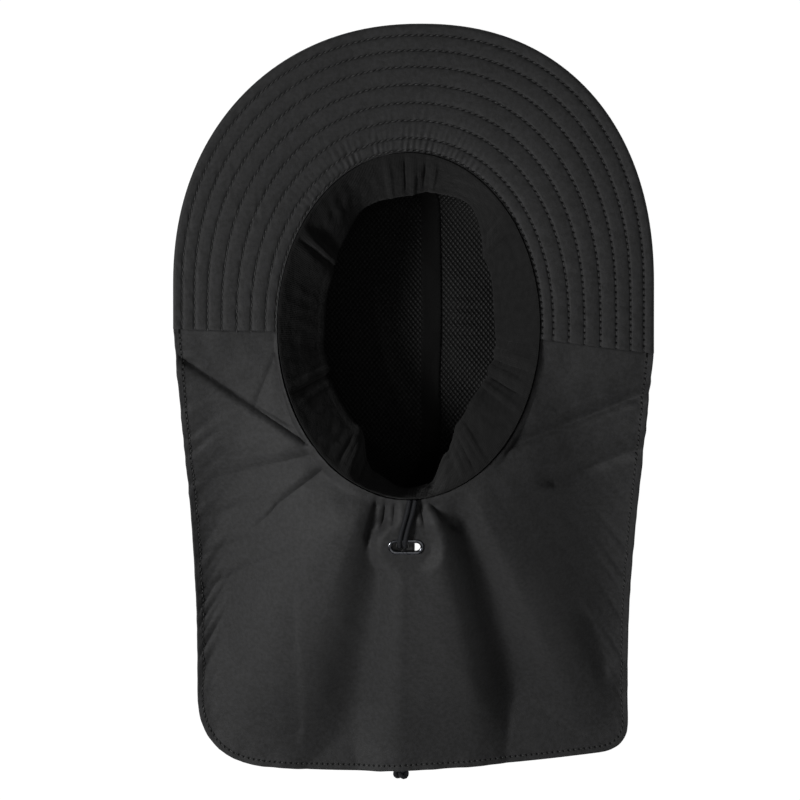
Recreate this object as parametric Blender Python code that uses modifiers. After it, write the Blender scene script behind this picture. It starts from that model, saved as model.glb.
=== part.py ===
"""Flap sun hat, lying upside down on its flattened crown.

The hat has a lined crown with a sweatband sewn round the head opening, a stitched brim over the
front, a long soft neck flap behind, and a draw cord of two strands that comes out from under the
sweatband, dives through an oblong eyelet in the flap and ends in a knot at the rear hem.

Units are metres and +Z is up. The origin is the point of the floor straight under the middle of
the head opening. +Y points to the front brim and +X to the right side of the hat as it is seen
from above. A turn is an angle in degrees about the opening, from +X towards +Y.
"""

import math
from collections import namedtuple

import bmesh
import bpy
import numpy as np
from mathutils import Vector

# Clearance between two pieces that are sewn or seated on each other
GAP = 0.0003

# Head opening, an oval with its long axis from front to back
OPENING_HALF_WIDTH = 0.0794
OPENING_HALF_LENGTH = 0.1046

# Crown, from the floor up to the seam where the brim and the flap are sewn on
CROWN_DEPTH = 0.088
CROWN_WALL = 0.0012
CROWN_LEAN = 0.011
CROWN_STEPS = 44

# Mesh lining and the tape over its middle seam
LINING_WALL = 0.0010
TAPE_WIDTH = 0.0118
TAPE_WALL = 0.0010
TAPE_SHIFT = 0.0035
TAPE_TOP_FRONT = 0.90
TAPE_TOP_REAR = 0.56
TAPE_SEAT = 0.0005
TAPE_STEPS = 26

# Sweatband
BAND_WIDTH = 0.036
BAND_WALL = 0.0012
BAND_PROUD = 0.0030
BAND_STEPS = 80
BAND_ROWS = 4

# Brim, from the opening out to its rounded front edge
BRIM_FRONT = 0.1805
BRIM_HALF_WIDTH = 0.1444
BRIM_SHIFT = 0.0027
BRIM_WIDEST = 0.0240
BRIM_SKEW = 0.0045
BRIM_ROUNDNESS = 2.18
BRIM_WALL = 0.0025
BRIM_RISE_FRONT = 0.009
BRIM_RISE_SIDE = 0.003
BRIM_CURL = 1.3
BRIM_STEPS = 44
BRIM_ROWS = 5

# The two seams between the brim and the flap, as turns on the opening and places on the outer edge
SEAM_TURN_LEFT = 182.0
SEAM_TURN_RIGHT = -4.6
SEAM_BACK_LEFT = 0.0020
SEAM_BACK_RIGHT = 0.0168

# Neck flap, from the opening's rear half down to a hem that lies on the floor
FLAP_LENGTH = 0.1766
FLAP_HALF_WIDTH_LEFT = 0.1360
FLAP_HALF_WIDTH_RIGHT = 0.1410
FLAP_WALL = 0.0012
FLAP_CORNER_LEFT = 0.032
FLAP_CORNER_RIGHT = 0.015
HEM_RISE_LEFT = 0.0078
HEM_RISE_RIGHT = 0.0140
HEM_LOWEST = -0.0190
SIDE_WAIST = 0.0045
FLAP_STEPS = 56
FLAP_FOLD_DEPTH = 0.0060

# Draw cord
STRAND_DIAMETER = 0.0030
STRAND_GAP = 0.0004
STRAND_STEP = 0.0065

# Eyelet in the flap, measured at its bore
EYELET_BEHIND = 0.0283
EYELET_SHIFT = -0.0018
EYELET_SLOPE = 0.25
EYELET_SIDES = 22
BORE_LENGTH = 0.0175
BORE_WIDTH = 0.0053
FLANGE_WIDTH = 0.0021
FLANGE_WALL = 0.0007
BARREL_WALL = 0.0006
FLAT_HALF_WIDTH = 0.0190
FLAT_HALF_LENGTH = 0.0150

# Cord lock under the eyelet and the knot at the hem
LOCK_WIDTH = 0.0150
LOCK_DEPTH = 0.0090
LOCK_HEIGHT = 0.0160
LOCK_EDGE = 0.0016
LOCK_CLEARANCE = 0.0007
KNOT_WIDTH = 0.0104
KNOT_LENGTH = 0.0120
KNOT_HEIGHT = 0.0060
KNOT_PROUD = 0.0052
KNOT_ACROSS = -0.0048
HEM_LIFT_SPREAD = 0.040

# Crown from the opening down to the middle of its tip.
# width: share of the opening's half-sizes; height: share of the crown's depth
Section = namedtuple("Section", "width height")
CROWN_SECTIONS = (
    Section(1.000, 1.00),
    Section(1.006, 0.88),
    Section(1.000, 0.72),
    Section(0.985, 0.54),
    Section(0.955, 0.36),
    Section(0.910, 0.19),
    Section(0.850, 0.065),
    Section(0.775, 0.00),
    Section(0.520, 0.00),
    Section(0.260, 0.00),
    Section(0.000, 0.00),
)
LINING_FIRST_SECTION = 1

# Dents of the crown's wall.
# turn: degrees; height: share of the crown's depth; spread: degrees; depth: share of the crown's depth
Dent = namedtuple("Dent", "turn height spread depth")
CROWN_DENTS = (
    Dent(128.0, 0.45, 16.0, 0.050),
    Dent(222.0, 0.40, 14.0, 0.045),
    Dent(352.0, 0.42, 12.0, 0.040),
    Dent(20.0, 0.55, 10.0, -0.020),
    Dent(170.0, 0.30, 18.0, -0.025),
    Dent(268.0, 0.35, 20.0, 0.030),
)
DENT_HEIGHT_SPREAD = 0.28

# Free edge of the sweatband, which leans into the crown.
# turn: degrees on the opening's oval; reach: share of the opening's half-sizes
Reach = namedtuple("Reach", "turn reach")
BAND_REACH = (
    Reach(7.0, 0.672),
    Reach(30.0, 0.716),
    Reach(57.0, 0.875),
    Reach(78.0, 0.825),
    Reach(94.0, 0.775),
    Reach(115.0, 0.790),
    Reach(138.0, 0.720),
    Reach(159.0, 0.666),
    Reach(180.0, 0.655),
    Reach(195.0, 0.692),
    Reach(214.0, 0.690),
    Reach(236.0, 0.706),
    Reach(252.0, 0.900),
    Reach(268.0, 0.960),
    Reach(280.0, 0.945),
    Reach(292.0, 0.800),
    Reach(304.0, 0.680),
    Reach(320.0, 0.645),
    Reach(340.0, 0.688),
)

# Folds and gathers of the sweatband.
# turn, spread: degrees; sewn, free: height near the sewn edge and at the free edge, share of its width
BandFold = namedtuple("BandFold", "turn spread sewn free")
BAND_FOLDS = (
    BandFold(84.0, 4.0, 0.040, 0.020),
    BandFold(96.0, 4.0, 0.045, -0.010),
    BandFold(140.0, 5.0, -0.050, 0.030),
    BandFold(152.0, 5.0, 0.045, 0.020),
    BandFold(196.0, 5.0, 0.020, 0.070),
    BandFold(205.0, 5.0, -0.040, -0.040),
    BandFold(240.0, 5.0, 0.050, 0.020),
    BandFold(300.0, 5.0, 0.050, -0.020),
    BandFold(338.0, 5.0, -0.040, 0.050),
    BandFold(350.0, 5.0, 0.045, -0.030),
    BandFold(38.0, 5.0, 0.050, 0.020),
    BandFold(48.0, 5.0, -0.035, 0.010),
)

# Rows of the flap from the opening to the hem, closer where the eyelet sits
FLAP_ROWS = (0.0, 0.04, 0.09, 0.14, 0.19, 0.25, 0.33, 0.42, 0.52, 0.62, 0.72, 0.81, 0.89, 0.95, 1.0)

# Folds of the flap, each a valley (depth below 0 is a ridge) along a line in its own two directions.
# around: 0 at the left seam, 1 at the right; out: 0 at the opening, 1 at the hem;
# width: share of the flap's length; depth: share of the fold depth
Fold = namedtuple("Fold", "around out to_around to_out width depth")
FLAP_FOLDS = (
    Fold(0.02, 0.98, 0.21, 0.03, 0.085, 0.75),
    Fold(0.12, 0.98, 0.24, 0.05, 0.085, 0.45),
    Fold(0.25, 0.29, 0.29, 0.03, 0.075, 0.30),
    Fold(0.21, 0.98, 0.25, 0.60, 0.080, 0.30),
    Fold(0.77, 0.02, 0.97, 0.98, 0.085, 0.75),
    Fold(0.82, 0.32, 0.93, 0.98, 0.085, 0.40),
    Fold(0.73, 0.70, 0.72, 0.80, 0.120, 0.30),
)

# Folds of the flap that fan out from the gathered rear of the opening: the drape's height at
# each share round the flap, in metres, smoothly joined. It grows from the opening, as the fan does.
Drape = namedtuple("Drape", "around height")
FLAP_DRAPE = (
    Drape(0.300, 0.0000),
    Drape(0.405, 0.0030),
    Drape(0.452, -0.0050),
    Drape(0.500, 0.0020),
    Drape(0.562, 0.0080),
    Drape(0.612, -0.0100),
    Drape(0.665, -0.0010),
    Drape(0.750, 0.0000),
)
DRAPE_STARTS = 0.12
DRAPE_FULL = 0.45
DRAPE_FADES = 0.60
DRAPE_AT_START = 0.55
DRAPE_AT_HEM = 0.40

# Route of the cord, the middle between its two strands, from the sweatband's rear edge over the
# flap, down through the eyelet and its lock, and along the floor to the knot
CORD_ROUTE = (
    (0.0021, -0.1048, 0.0912),
    (0.0009, -0.1112, 0.0906),
    (-0.0008, -0.1172, 0.0898),
    (-0.0025, -0.1232, 0.0891),
    (-0.0036, -0.1282, 0.0881),
    (-0.0039, -0.1306, 0.0869),
    (-0.0039, -0.1322, 0.0850),
    (-0.0039, -0.1329, 0.0828),
    (-0.0039, -0.1327, 0.0806),
    (-0.0039, -0.1309, 0.0734),
    (-0.0039, -0.1288, 0.0650),
    (-0.0038, -0.1275, 0.0580),
    (-0.0036, -0.1272, 0.0490),
    (-0.0032, -0.1283, 0.0390),
    (-0.0026, -0.1312, 0.0290),
    (-0.0018, -0.1360, 0.0195),
    (-0.0008, -0.1428, 0.0112),
    (0.0004, -0.1512, 0.0054),
    (0.0016, -0.1606, 0.0026),
    (0.0026, -0.1710, 0.0019),
    (0.0032, -0.1825, 0.0019),
    (0.0030, -0.1960, 0.0019),
    (0.0020, -0.2100, 0.0019),
    (0.0002, -0.2240, 0.0019),
    (-0.0018, -0.2375, 0.0019),
    (-0.0035, -0.2500, 0.0019),
    (-0.0045, -0.2620, 0.0020),
    (-0.0048, -0.2741, 0.0024),
)
CORD_IN_EYELET = -0.0039
LOCK_BACK = 0.0003

CROWN_RIM = CROWN_DEPTH
REAR_EDGE = -OPENING_HALF_LENGTH
STRAND_PITCH = STRAND_DIAMETER + STRAND_GAP
TIP_STARTS = 0.66
EYELET_PLACE = (EYELET_SHIFT, REAR_EDGE - EYELET_BEHIND)
EYELET_TILT = math.atan(EYELET_SLOPE)
FLANGE_SEAT = FLAP_WALL / 2 + GAP
EYELET_HALF_HEIGHT = FLANGE_SEAT + FLANGE_WALL


def clear_scene():
    """Removes whatever objects the open file holds."""
    for item in list(bpy.data.objects):
        bpy.data.objects.remove(item, do_unlink=True)


def new_collection(name):
    """Adds a collection of this name to the scene."""
    group = bpy.data.collections.new(name)
    bpy.context.scene.collection.children.link(group)
    return group


def new_material(name, colour, roughness, metallic=0.0):
    """Makes a Principled material of one colour."""
    made = bpy.data.materials.new(name)
    made.use_nodes = True
    shader = made.node_tree.nodes["Principled BSDF"]
    shader.inputs["Base Color"].default_value = (*colour, 1.0)
    shader.inputs["Roughness"].default_value = roughness
    shader.inputs["Metallic"].default_value = metallic
    return made


def smooth_step(share):
    """Rises from 0 to 1 with level ends."""
    share = min(1.0, max(0.0, share))
    return share * share * (3.0 - 2.0 * share)


def mix(first, second, share):
    """The value that lies this share of the way from the first to the second."""
    return first + (second - first) * share


def turn_between(turn, other):
    """The smaller angle between two turns, in degrees."""
    return abs((turn - other + 180.0) % 360.0 - 180.0)


def bell(distance, spread):
    """A smooth bump of height 1 that fades out over the spread."""
    return math.exp(-((distance / spread) ** 2))


def opening_point(turn, scale=1.0, margin=0.0):
    """A plan point of the opening's oval, scaled and then widened by a margin."""
    angle = math.radians(turn)
    return np.array(
        (
            (OPENING_HALF_WIDTH * scale + margin) * math.cos(angle),
            (OPENING_HALF_LENGTH * scale + margin) * math.sin(angle),
        )
    )


class Path:
    """A plan line through many points, read by the share of its length."""

    def __init__(self, points):
        self.points = np.array(points, float)
        steps = np.linalg.norm(np.diff(self.points, axis=0), axis=1)
        self.lengths = np.concatenate([[0.0], np.cumsum(steps)])

    def at(self, share):
        """The point at this share of the length."""
        distance = share * self.lengths[-1]
        return np.array([np.interp(distance, self.lengths, self.points[:, k]) for k in range(2)])


def bowed_run(start, end, bow, steps=16):
    """Points from start to end whose middle lies off the straight line by the bow, to its left."""
    start = np.array(start, float)
    end = np.array(end, float)
    way = end - start
    left = np.array((-way[1], way[0])) / np.linalg.norm(way)
    shares = np.linspace(0.0, 1.0, steps + 1)
    return [start + way * share + left * bow * math.sin(math.pi * share) for share in shares]


def rounded_corner(before, after, reach_back, reach_on, steps=8):
    """Joins two runs that meet in a corner by a curve that starts and ends this far from it."""
    corner = np.array(before[-1])
    kept_before = [p for p in before if np.linalg.norm(p - corner) > reach_back]
    kept_after = [p for p in after if np.linalg.norm(p - corner) > reach_on]
    start = corner + (kept_before[-1] - corner) / np.linalg.norm(kept_before[-1] - corner) * reach_back
    end = corner + (kept_after[0] - corner) / np.linalg.norm(kept_after[0] - corner) * reach_on
    curve = []
    for share in np.linspace(0.0, 1.0, steps + 1):
        curve.append(start * (1 - share) ** 2 + corner * 2 * share * (1 - share) + end * share**2)
    return kept_before + curve + kept_after


def brim_outline():
    """The brim's outer edge from the right seam over the front to the left seam."""
    points = [(BRIM_SHIFT + BRIM_HALF_WIDTH, -SEAM_BACK_RIGHT)]
    reach = BRIM_FRONT - BRIM_WIDEST
    for turn in np.linspace(0.0, 180.0, 61):
        across = math.cos(math.radians(turn))
        ahead = math.sin(math.radians(turn))
        share = 2.0 / BRIM_ROUNDNESS
        x = BRIM_HALF_WIDTH * math.copysign(abs(across) ** share, across)
        y = reach * abs(ahead) ** share
        points.append((BRIM_SHIFT + x + BRIM_SKEW * (y / reach) ** 2, BRIM_WIDEST + y))
    points.append((BRIM_SHIFT - BRIM_HALF_WIDTH, -SEAM_BACK_LEFT))
    return Path(points)


def flap_outline():
    """The flap's hem from the left seam round the floor to the right seam."""
    hem_y = REAR_EDGE - FLAP_LENGTH
    seam_left = (BRIM_SHIFT - BRIM_HALF_WIDTH, -SEAM_BACK_LEFT)
    seam_right = (BRIM_SHIFT + BRIM_HALF_WIDTH, -SEAM_BACK_RIGHT)
    corner_left = (-FLAP_HALF_WIDTH_LEFT, hem_y + HEM_RISE_LEFT)
    corner_right = (FLAP_HALF_WIDTH_RIGHT, hem_y + HEM_RISE_RIGHT)
    middle = (HEM_LOWEST, hem_y)
    left = bowed_run(seam_left, corner_left, SIDE_WAIST)
    hem = bowed_run(corner_left, middle, -SIDE_WAIST / 2)[:-1] + bowed_run(
        middle, corner_right, -SIDE_WAIST / 2
    )
    right = bowed_run(corner_right, seam_right, SIDE_WAIST)
    turned = rounded_corner(left, hem, FLAP_CORNER_LEFT, FLAP_CORNER_LEFT)
    return Path(rounded_corner(turned, right, FLAP_CORNER_RIGHT, FLAP_CORNER_RIGHT))


BRIM_EDGE = brim_outline()
FLAP_EDGE = flap_outline()


def crown_point(around, down):
    """A point of the crown's outer face: around the oval, and down its sections from 0 to 1."""
    turn = 360.0 * around
    rows = np.linspace(0.0, 1.0, len(CROWN_SECTIONS))
    width = np.interp(down, rows, [row.width for row in CROWN_SECTIONS])
    height = np.interp(down, rows, [row.height for row in CROWN_SECTIONS])
    inward = 0.0
    for dent in CROWN_DENTS:
        near = bell(turn_between(turn, dent.turn), dent.spread)
        inward += dent.depth * near * bell(height - dent.height, DENT_HEIGHT_SPREAD)
    inward *= CROWN_DEPTH * smooth_step(height / 0.1) * smooth_step((1.0 - height) / 0.3)
    plan = opening_point(turn, 1.0, CROWN_WALL) * width
    plan -= plan / max(np.linalg.norm(plan), 1e-9) * inward
    return Vector((plan[0] + CROWN_LEAN * (1.0 - height) ** 2, plan[1], (CROWN_RIM - GAP) * height))


def crown_inside(around, down, distance):
    """The crown's point moved in through its wall by a distance."""
    step = 0.004
    if down > 1.0 - step:
        return crown_point(around, down) + Vector((0.0, 0.0, distance))
    across = crown_point(around + step, down) - crown_point(around - step, down)
    run = crown_point(around, min(down + step, 1.0)) - crown_point(around, max(down - step, 0.0))
    return crown_point(around, down) + across.cross(run).normalized() * distance


def lining_inside(around, down, distance):
    """The lining's inner face, moved further in by a distance."""
    return crown_inside(around, down, CROWN_WALL + GAP + LINING_WALL + distance)


def tape_point(across, along):
    """A point of the tape's outer face: across its width, and along it from front to back."""
    ahead = 1.0 if along < 0.5 else -1.0
    top = TAPE_TOP_FRONT if ahead > 0 else TAPE_TOP_REAR
    down = mix(1.0, lining_depth(top), abs(1.0 - 2.0 * along))
    offset = TAPE_SHIFT * math.sin(math.pi * along) + (across - 0.5) * TAPE_WIDTH
    half_width = max(OPENING_HALF_WIDTH * section_width(down), 2.0 * TAPE_WIDTH)
    lean = math.asin(offset / half_width) / math.tau
    around = 0.25 - lean if ahead > 0 else 0.75 + lean
    place = lining_inside(around, down, TAPE_SEAT)
    level = smooth_step((down - TIP_STARTS) / 0.05)
    flat_y = ahead * OPENING_HALF_LENGTH * section_width(down)
    flat = Vector((CROWN_LEAN + offset, flat_y, CROWN_WALL + LINING_WALL + GAP + TAPE_SEAT))
    return place.lerp(flat, level)


def section_width(down):
    """The width of the crown this share of the way down its sections."""
    rows = np.linspace(0.0, 1.0, len(CROWN_SECTIONS))
    return float(np.interp(down, rows, [row.width for row in CROWN_SECTIONS]))


def lining_depth(height):
    """The share down the crown's sections at which its wall has this height."""
    wall = [row for row in CROWN_SECTIONS if row.height > 0.0]
    shares = np.linspace(0.0, 1.0, len(CROWN_SECTIONS))[: len(wall)]
    return float(np.interp(-height, [-row.height for row in wall], shares))


def band_reach(turn):
    """How far in the sweatband's free edge lies at a turn, smooth between the rows."""
    turns = [row.turn for row in BAND_REACH]
    values = [row.reach for row in BAND_REACH]
    turn = turn % 360.0
    turns = [turns[-1] - 360.0] + turns + [turns[0] + 360.0]
    values = [values[-1]] + values + [values[0]]
    nearest = max(k for k in range(len(turns)) if turns[k] <= turn)
    share = (turn - turns[nearest]) / (turns[nearest + 1] - turns[nearest])
    return mix(values[nearest], values[nearest + 1], smooth_step(share))


def band_point(around, down):
    """A point of the sweatband's outer face, from its sewn edge to its free edge."""
    turn = 360.0 * around
    sewn = opening_point(turn, 1.0, -GAP)
    free = sewn * band_reach(turn)
    lean = np.linalg.norm(sewn - free)
    fall = math.sqrt(BAND_WIDTH**2 - lean**2)
    plan = sewn + (free - sewn) * down
    height = CROWN_RIM + BAND_PROUD - fall * down
    lift = 0.0
    for fold in BAND_FOLDS:
        near = bell(turn_between(turn, fold.turn), fold.spread)
        lift += near * (fold.sewn * math.sin(math.pi * down) + fold.free * down**2)
    lift *= BAND_WIDTH
    inward = -plan / np.linalg.norm(plan) * lift * fall / BAND_WIDTH
    return Vector((plan[0] + inward[0], plan[1] + inward[1], height + lift * lean / BAND_WIDTH))


def brim_point(around, out):
    """A point of the brim's lower face, from the right seam over the front, and out to the edge."""
    turn = mix(SEAM_TURN_RIGHT, SEAM_TURN_LEFT, around)
    inner = opening_point(turn)
    plan = inner + (BRIM_EDGE.at(around) - inner) * out
    rise = mix(BRIM_RISE_SIDE, BRIM_RISE_FRONT, math.sin(math.pi * around) ** 1.5)
    return Vector((plan[0], plan[1] + GAP / 2, CROWN_RIM + rise * out**BRIM_CURL))


def flap_plan(around, out):
    """The plan of the flap, from the left seam to the right, and from the opening to the hem."""
    turn = mix(SEAM_TURN_LEFT, SEAM_TURN_RIGHT + 360.0, around)
    inner = opening_point(turn)
    return inner + (FLAP_EDGE.at(around) - inner) * out


def hem_height(plan):
    """How high the hem lies: level with the brim at the seams and on the floor at the corners."""
    seam_back = SEAM_BACK_LEFT if plan[0] < 0 else SEAM_BACK_RIGHT
    rise = HEM_RISE_LEFT if plan[0] < 0 else HEM_RISE_RIGHT
    run = (-seam_back - plan[1]) / (FLAP_LENGTH - REAR_EDGE - rise - seam_back)
    fall = 1.0 - smooth_step(min(1.0, max(0.0, run)) ** 0.92)
    lift = (KNOT_HEIGHT + 2 * GAP) * bell(plan[0] - KNOT_ACROSS, HEM_LIFT_SPREAD)
    return (CROWN_RIM + BRIM_RISE_SIDE) * fall + lift * smooth_step((run - 0.8) / 0.2)


def fold_depth(plan):
    """How deep the folds of the flap are at a plan point."""
    depth = 0.0
    for fold in FLAP_FOLDS:
        start = flap_plan(fold.around, fold.out)
        way = flap_plan(fold.to_around, fold.to_out) - start
        share = float(np.dot(plan - start, way) / np.dot(way, way))
        nearest = start + way * min(1.0, max(0.0, share))
        depth += fold.depth * bell(np.linalg.norm(plan - nearest), fold.width * FLAP_LENGTH / 2)
    return depth * FLAP_FOLD_DEPTH


def drape_height(around, out):
    """How far the fanned folds of the flap raise it, less near the opening and near the hem."""
    grown = smooth_step(out / DRAPE_STARTS) * mix(DRAPE_AT_START, 1.0, smooth_step(out / DRAPE_FULL))
    faded = mix(1.0, DRAPE_AT_HEM, smooth_step((out - DRAPE_FADES) / (1.0 - DRAPE_FADES)))
    for first, second in zip(FLAP_DRAPE, FLAP_DRAPE[1:]):
        if first.around <= around <= second.around:
            share = (around - first.around) / (second.around - first.around)
            return mix(first.height, second.height, smooth_step(share)) * grown * faded
    return 0.0


def eyelet_height():
    """The height of the flap's lower face at the middle of the eyelet."""
    return CROWN_RIM * (1.0 - smooth_step(EYELET_BEHIND / FLAP_LENGTH))


def flap_point(around, out):
    """A point of the flap's lower face."""
    plan = flap_plan(around, out)
    edge_height = hem_height(FLAP_EDGE.at(around))
    beside_seam = min(1.0, math.sin(math.pi * around) * 2.5)
    fall = mix(out**BRIM_CURL, smooth_step(out), beside_seam)
    height = mix(CROWN_RIM, edge_height, fall)
    fade = smooth_step(out / 0.15) * smooth_step(math.sin(math.pi * around) / 0.12)
    height += drape_height(around, out) - fold_depth(plan) * fade
    flat = eyelet_height() + EYELET_SLOPE * (plan[1] - EYELET_PLACE[1])
    away = math.hypot(
        (plan[0] - EYELET_PLACE[0]) / FLAT_HALF_WIDTH, (plan[1] - EYELET_PLACE[1]) / FLAT_HALF_LENGTH
    )
    height = mix(flat, height, smooth_step((away - 1.0) / 0.8))
    return Vector((plan[0], plan[1] - GAP / 2, max(0.0, height)))


def grid_object(name, group, point, columns, rows, wrapped=False):
    """Makes an open surface from a point function of two shares; rows is a count or a list."""
    shares = rows if isinstance(rows, tuple) else tuple(k / rows for k in range(rows + 1))
    shape = bmesh.new()
    bmesh.ops.create_grid(shape, x_segments=columns, y_segments=len(shares) - 1, size=0.5)
    for corner in shape.verts:
        across = corner.co.x + 0.5
        row = round((corner.co.y + 0.5) * (len(shares) - 1))
        corner.co = point(across, shares[row])
    bmesh.ops.remove_doubles(shape, verts=shape.verts, dist=1e-6)
    if wrapped:
        bmesh.ops.dissolve_degenerate(shape, edges=shape.edges, dist=1e-6)
    mesh = bpy.data.meshes.new(name)
    shape.to_mesh(mesh)
    shape.free()
    made = bpy.data.objects.new(name, mesh)
    group.objects.link(made)
    return made


def thicken(made, wall, side):
    """Gives an open surface a wall, on the side of its normals for 1 and behind them for -1."""
    solid = made.modifiers.new("Wall", "SOLIDIFY")
    solid.thickness = wall
    solid.offset = side
    return solid


def finish(made, surface):
    """Gives a piece its material and smooth shading with sharp edges kept."""
    made.data.materials.append(surface)
    made.data.shade_smooth()
    made.data.set_sharp_from_angle(angle=math.radians(40.0))
    return made


def build_crown(group, surface):
    """The crown: a bowl of cloth, flattened where it lies."""
    crown = grid_object("crown_shell", group, crown_point, CROWN_STEPS, len(CROWN_SECTIONS) - 1, True)
    thicken(crown, CROWN_WALL, 1)
    return finish(crown, surface)


def build_lining(group, surface):
    """The mesh lining, which follows the crown from under the sweatband."""
    rows = tuple(np.linspace(0.0, 1.0, len(CROWN_SECTIONS))[LINING_FIRST_SECTION:])

    def point(around, down):
        return crown_inside(around, down, CROWN_WALL + GAP)

    lining = grid_object("mesh_lining", group, point, CROWN_STEPS, rows, True)
    thicken(lining, LINING_WALL, 1)
    return finish(lining, surface)


def build_tape(group, surface):
    """The seam tape that runs from front to back inside the crown."""
    tape = grid_object("seam_tape", group, tape_point, 2, TAPE_STEPS)
    thicken(tape, TAPE_WALL, -1)
    return finish(tape, surface)


def build_band(group, surface):
    """The sweatband, gathered round the opening."""
    band = grid_object("sweatband", group, band_point, BAND_STEPS, BAND_ROWS, True)
    thicken(band, BAND_WALL, 1)
    return finish(band, surface)


def build_brim(group, surface):
    """The stitched front brim, which rises a little towards its edge."""
    brim = grid_object("brim", group, brim_point, BRIM_STEPS, BRIM_ROWS)
    thicken(brim, BRIM_WALL, -1)
    return finish(brim, surface)


def build_flap(group, cutters, surface):
    """The neck flap, with its hole for the eyelet."""
    flap = grid_object("neck_flap", group, flap_point, FLAP_STEPS, FLAP_ROWS)
    thicken(flap, FLAP_WALL, -1)
    margin = 2 * (BARREL_WALL + GAP)
    hole = oblong_prism("eyelet_hole", BORE_LENGTH + margin, BORE_WIDTH + margin, 10 * FLAP_WALL)
    cutters.objects.link(hole)
    seat_on_eyelet(hole, 0.0, 0.0, 0.0)
    cut(flap, hole)
    return finish(flap, surface)


def oblong_prism(name, length, width, depth):
    """A straight-sided prism with round ends: its length along X, its width along Y."""
    shape = bmesh.new()
    bmesh.ops.create_cone(
        shape,
        cap_ends=True,
        segments=EYELET_SIDES,
        radius1=width / 2,
        radius2=width / 2,
        depth=depth,
    )
    for corner in shape.verts:
        corner.co.x += math.copysign((length - width) / 2, corner.co.x)
    mesh = bpy.data.meshes.new(name)
    shape.to_mesh(mesh)
    shape.free()
    prism = bpy.data.objects.new(name, mesh)
    prism.hide_render = True
    prism.display_type = "WIRE"
    return prism


def seat_on_eyelet(item, across, back, up):
    """Places and tilts an item in the flap's plane at the eyelet."""
    tilt = EYELET_TILT
    normal = Vector((0.0, -math.sin(tilt), math.cos(tilt)))
    rearward = Vector((0.0, -math.cos(tilt), -math.sin(tilt)))
    middle = Vector((EYELET_PLACE[0], EYELET_PLACE[1] - GAP / 2, eyelet_height()))
    item.location = (
        middle + normal * (FLAP_WALL / 2 + up) + rearward * back + Vector((across, 0.0, 0.0))
    )
    item.rotation_euler = (tilt, 0.0, 0.0)


def cut(target, cutter):
    """Cuts one object out of another."""
    taken = target.modifiers.new("Cut", "BOOLEAN")
    taken.operation = "DIFFERENCE"
    taken.solver = "EXACT"
    taken.object = cutter


def eyelet_section():
    """The eyelet's cross-section: how far out from the bore, and how far up from the flap's middle."""
    half = EYELET_HALF_HEIGHT
    seat = FLANGE_SEAT
    edge = seat + FLANGE_WALL * 0.4
    upper = [
        (0.0, half * 0.6),
        (FLANGE_WIDTH * 0.25, half),
        (FLANGE_WIDTH * 0.75, half),
        (FLANGE_WIDTH, edge),
        (FLANGE_WIDTH * 0.95, seat),
        (BARREL_WALL, seat),
    ]
    return upper + [(out, -up) for out, up in reversed(upper)]


def build_eyelet(group, surface):
    """The oblong metal eyelet, flanged on both faces of the flap."""
    section = eyelet_section()
    straight = (BORE_LENGTH - BORE_WIDTH) / 2

    def point(around, along):
        angle = -math.tau * around
        out, up = section[round(along * len(section)) % len(section)]
        radius = BORE_WIDTH / 2 + out
        ends = math.copysign(straight, math.cos(angle))
        return Vector((ends + radius * math.cos(angle), radius * math.sin(angle), up))

    eyelet = grid_object("eyelet", group, point, EYELET_SIDES, len(section), True)
    seat_on_eyelet(eyelet, 0.0, 0.0, 0.0)
    return finish(eyelet, surface)


def smooth_route(points, step):
    """Points about a step apart on a smooth curve through the given ones."""
    line = [Vector(point) for point in points]
    line = [line[0] * 2 - line[1]] + line + [line[-1] * 2 - line[-2]]
    route = []
    for k in range(1, len(line) - 2):
        before, start, end, after = line[k - 1 : k + 3]
        count = max(1, round((end - start).length / step))
        for share in (part / count for part in range(count)):
            square = share * share
            cube = square * share
            route.append(
                (
                    start * 2
                    + (end - before) * share
                    + (before * 2 - start * 5 + end * 4 - after) * square
                    + (start * 3 - before - end * 3 + after) * cube
                )
                / 2
            )
    route.append(line[-2])
    return route


def build_strand(name, group, surface, side):
    """One strand of the draw cord, half the pitch to one side of the route."""
    curve = bpy.data.curves.new(name, "CURVE")
    curve.dimensions = "3D"
    curve.bevel_depth = STRAND_DIAMETER / 2
    curve.bevel_resolution = 2
    curve.use_fill_caps = True
    route = smooth_route(CORD_ROUTE, STRAND_STEP)
    spline = curve.splines.new("POLY")
    spline.points.add(len(route) - 1)
    for station, place in zip(spline.points, route):
        station.co = (place.x + side * STRAND_PITCH / 2, place.y, place.z, 1.0)
    strand = bpy.data.objects.new(name, curve)
    curve.materials.append(surface)
    group.objects.link(strand)
    return strand


def build_lock(group, cutters, surface):
    """The cord lock that holds both strands under the eyelet: a rounded block with an oblong bore."""
    shape = bmesh.new()
    bmesh.ops.create_cube(shape, size=1.0)
    bmesh.ops.scale(shape, vec=(LOCK_WIDTH, LOCK_DEPTH, LOCK_HEIGHT), verts=shape.verts)
    mesh = bpy.data.meshes.new("cord_lock")
    shape.to_mesh(mesh)
    shape.free()
    lock = bpy.data.objects.new("cord_lock", mesh)
    group.objects.link(lock)
    across = CORD_IN_EYELET - EYELET_SHIFT
    up = -(EYELET_HALF_HEIGHT + GAP + LOCK_HEIGHT / 2)
    seat_on_eyelet(lock, across, LOCK_BACK, up)
    edge = lock.modifiers.new("Edge", "BEVEL")
    edge.width = LOCK_EDGE
    edge.segments = 2
    width = STRAND_DIAMETER + 2 * LOCK_CLEARANCE
    bore = oblong_prism("lock_bore", STRAND_PITCH + width, width, 2 * LOCK_HEIGHT)
    cutters.objects.link(bore)
    seat_on_eyelet(bore, across, LOCK_BACK, up)
    cut(lock, bore)
    return finish(lock, surface)


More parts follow.
